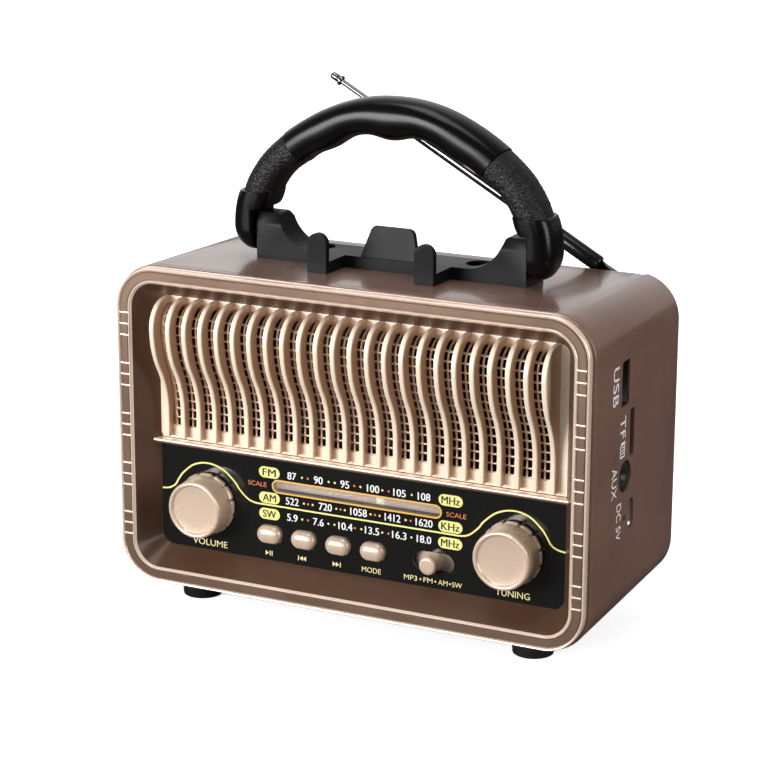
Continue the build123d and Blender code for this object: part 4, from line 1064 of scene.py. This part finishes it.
SLOTS = {
    "back_cover": "back_black", "battery_door": "back_black", "back_screws": "steel",
    # The speaker mesh takes the darker grille bronze, painted shade between the fins.
    "speaker_mesh": "grille_painted_shade", "dial_plate": "dial_black",
    # The dial backing and the pointer glow a little: painted light, not lamps.
    "dial_window": "window_clear", "dial_backing": "backing_taupe", "dial_pointer": "pointer_light",
    "pointer_rail": "steel", "tuning_drum": "white_plastic",
    "cord_posts": "white_plastic", "dial_cord": "cord_fibre", "tuning_shaft": "steel",
    "tuning_control": "component_dark", "volume_shaft": "steel", "volume_control": "component_dark",
    "tact_switches": "component_dark", "band_slider": "control_gold", "band_switch": "steel",
    "control_board": "board_green", "board_components": "component_dark",
    "socket_board": "board_green", "usb_socket": "black_plastic", "card_socket": "black_plastic",
    "aux_jack": "component_dark", "charge_socket": "steel", "charge_led": "led_lens",
    "speaker_frame": "speaker_black", "speaker_cone": "cone_paper", "speaker_magnet": "ferrite",
    "ferrite_rod": "ferrite", "ferrite_coil": "coil_copper", "battery_holder": "black_plastic",
    "battery_cell": "cell_wrap", "battery_contacts": "steel", "holder_tray": "black_plastic",
    "tray_screws": "steel", "pivot_pins": "steel", "antenna_swivel": "chrome",
    "antenna_pin": "steel", "antenna_base": "chrome", "antenna_inner_tube": "chrome",
}


# ---- Studio ---------------------------------------------------------------------

def soft_light(name, place, target, width, height, watts):
    light = bpy.data.lights.new(name, "AREA")
    light.shape, light.size, light.size_y = "RECTANGLE", width, height
    light.energy = watts
    obj = bpy.data.objects.new(name, light)
    bpy.context.scene.collection.objects.link(obj)
    obj.location = place
    obj.rotation_mode = "QUATERNION"
    obj.rotation_quaternion = (Vector(target) - Vector(place)).to_track_quat("-Z", "Y")
    return obj


def world_light():
    """White to the camera. In reflections: bright behind on the left, dim in front and right."""
    world = bpy.data.worlds.new("studio")
    world.use_nodes = True
    bpy.context.scene.world = world
    tree = world.node_tree
    new, link = tree.nodes.new, tree.links.new
    direction = new("ShaderNodeSeparateXYZ")
    link(new("ShaderNodeTexCoord").outputs["Generated"], direction.inputs["Vector"])
    behind = new("ShaderNodeMapRange")
    link(direction.outputs["Y"], behind.inputs["Value"])
    for key, value in (("From Min", -0.1), ("From Max", 0.7), ("To Min", 0.12), ("To Max", 0.85)):
        behind.inputs[key].default_value = value
    across = new("ShaderNodeMapRange")
    link(direction.outputs["X"], across.inputs["Value"])
    for key, value in (("From Min", -0.55), ("From Max", 0.3), ("To Min", 1.25), ("To Max", 0.3)):
        across.inputs[key].default_value = value
    both = new("ShaderNodeMath")
    both.operation = "MULTIPLY"
    link(behind.outputs["Result"], both.inputs[0])
    link(across.outputs["Result"], both.inputs[1])
    path = new("ShaderNodeLightPath")
    mix = new("ShaderNodeMix")
    link(path.outputs["Is Camera Ray"], mix.inputs[0])
    link(both.outputs["Value"], mix.inputs[2])
    mix.inputs[3].default_value = 1.0
    link(mix.outputs[0], tree.nodes["Background"].inputs["Strength"])
    tree.nodes["Background"].inputs["Color"].default_value = (1, 1, 1, 1)


def make_floor():
    """Pale paper floor, a flat square. Seen directly it is white; the object's reflections see it darker.
    """
    mesh = bpy.data.meshes.new("floor")
    mesh.from_pydata([(-6, -6, 0), (6, -6, 0), (6, 6, 0), (-6, 6, 0)], [], [(0, 1, 2, 3)])
    floor = bpy.data.objects.new("floor", mesh)
    bpy.context.scene.collection.objects.link(floor)
    n = Nodes("paper")
    path = n.add("ShaderNodeLightPath")
    tooth = n.range(n.noise(60.0), 0.3, 0.7, 0.86, 0.90)
    pale = n.add("ShaderNodeCombineColor", Red=tooth, Green=tooth, Blue=tooth)
    seen = path.outputs["Is Camera Ray"]
    n.set(n.surface.inputs["Base Color"], n.mix(seen, (0.10, 0.09, 0.085, 1), pale.outputs["Color"]))
    n.surface.inputs["Roughness"].default_value = 0.95
    n.surface.inputs["Specular IOR Level"].default_value = 0.0
    n.surface.inputs["Emission Color"].default_value = (1, 1, 1, 1)
    distance = n.add("ShaderNodeVectorMath")
    distance.operation = "LENGTH"
    n.set(distance.inputs[0], n.place)
    glow = n.range(distance.outputs["Value"], 0.08, 0.4, 0.72, 1.0)
    n.set(n.surface.inputs["Emission Strength"], n.math("MULTIPLY", seen, glow))
    mesh.materials.append(n.material)


def make_studio():
    world_light()
    make_floor()
    middle = (0, 0, 0.07)
    soft_light("key", (-0.42, -0.80, 0.22), middle, 0.45, 0.35, 8.6)
    soft_light("side", (0.95, -0.10, 0.35), middle, 0.3, 0.6, 4.8)
    soft_light("top", (-0.05, -0.05, 0.95), middle, 0.6, 0.4, 3.2)
    soft_light("front", (0.10, -1.1, 0.35), middle, 0.7, 0.3, 2.2)


CAMERA_ROLL = 0.25


def make_camera():
    camera = bpy.data.objects.new("camera", bpy.data.cameras.new("camera"))
    bpy.context.scene.collection.objects.link(camera)
    place, aim = Vector((0.3125, -0.64015, 0.2640)), Vector((0.0136, -0.03475, 0.07767))
    camera.location = place
    camera.rotation_mode = "QUATERNION"
    level = (aim - place).to_track_quat("-Z", "Y")
    camera.rotation_quaternion = level @ Quaternion((0, 0, 1), math.radians(CAMERA_ROLL))
    camera.data.lens, camera.data.sensor_width = 116.27, 36.0
    bpy.context.scene.camera = camera


make_cabinet()
make_bezel()
make_grille()
make_rail()
make_vent_shade_cloth()
make_knob("volume_dial", "volume", -KNOB_X, ("volume_knob",))
make_knob("tuning_dial", "tuning", KNOB_X, ("tuning_knob",))
for node, (body, x) in BUTTONS.items():
    make_button(node.replace("_button", "_cap"), body, x)
make_dial_print()
make_side_print()
make_handle()
make_antenna()
make_feet()
dress_cad_nodes()
make_studio()
make_camera()
bpy.context.scene.view_settings.view_transform = "Standard"
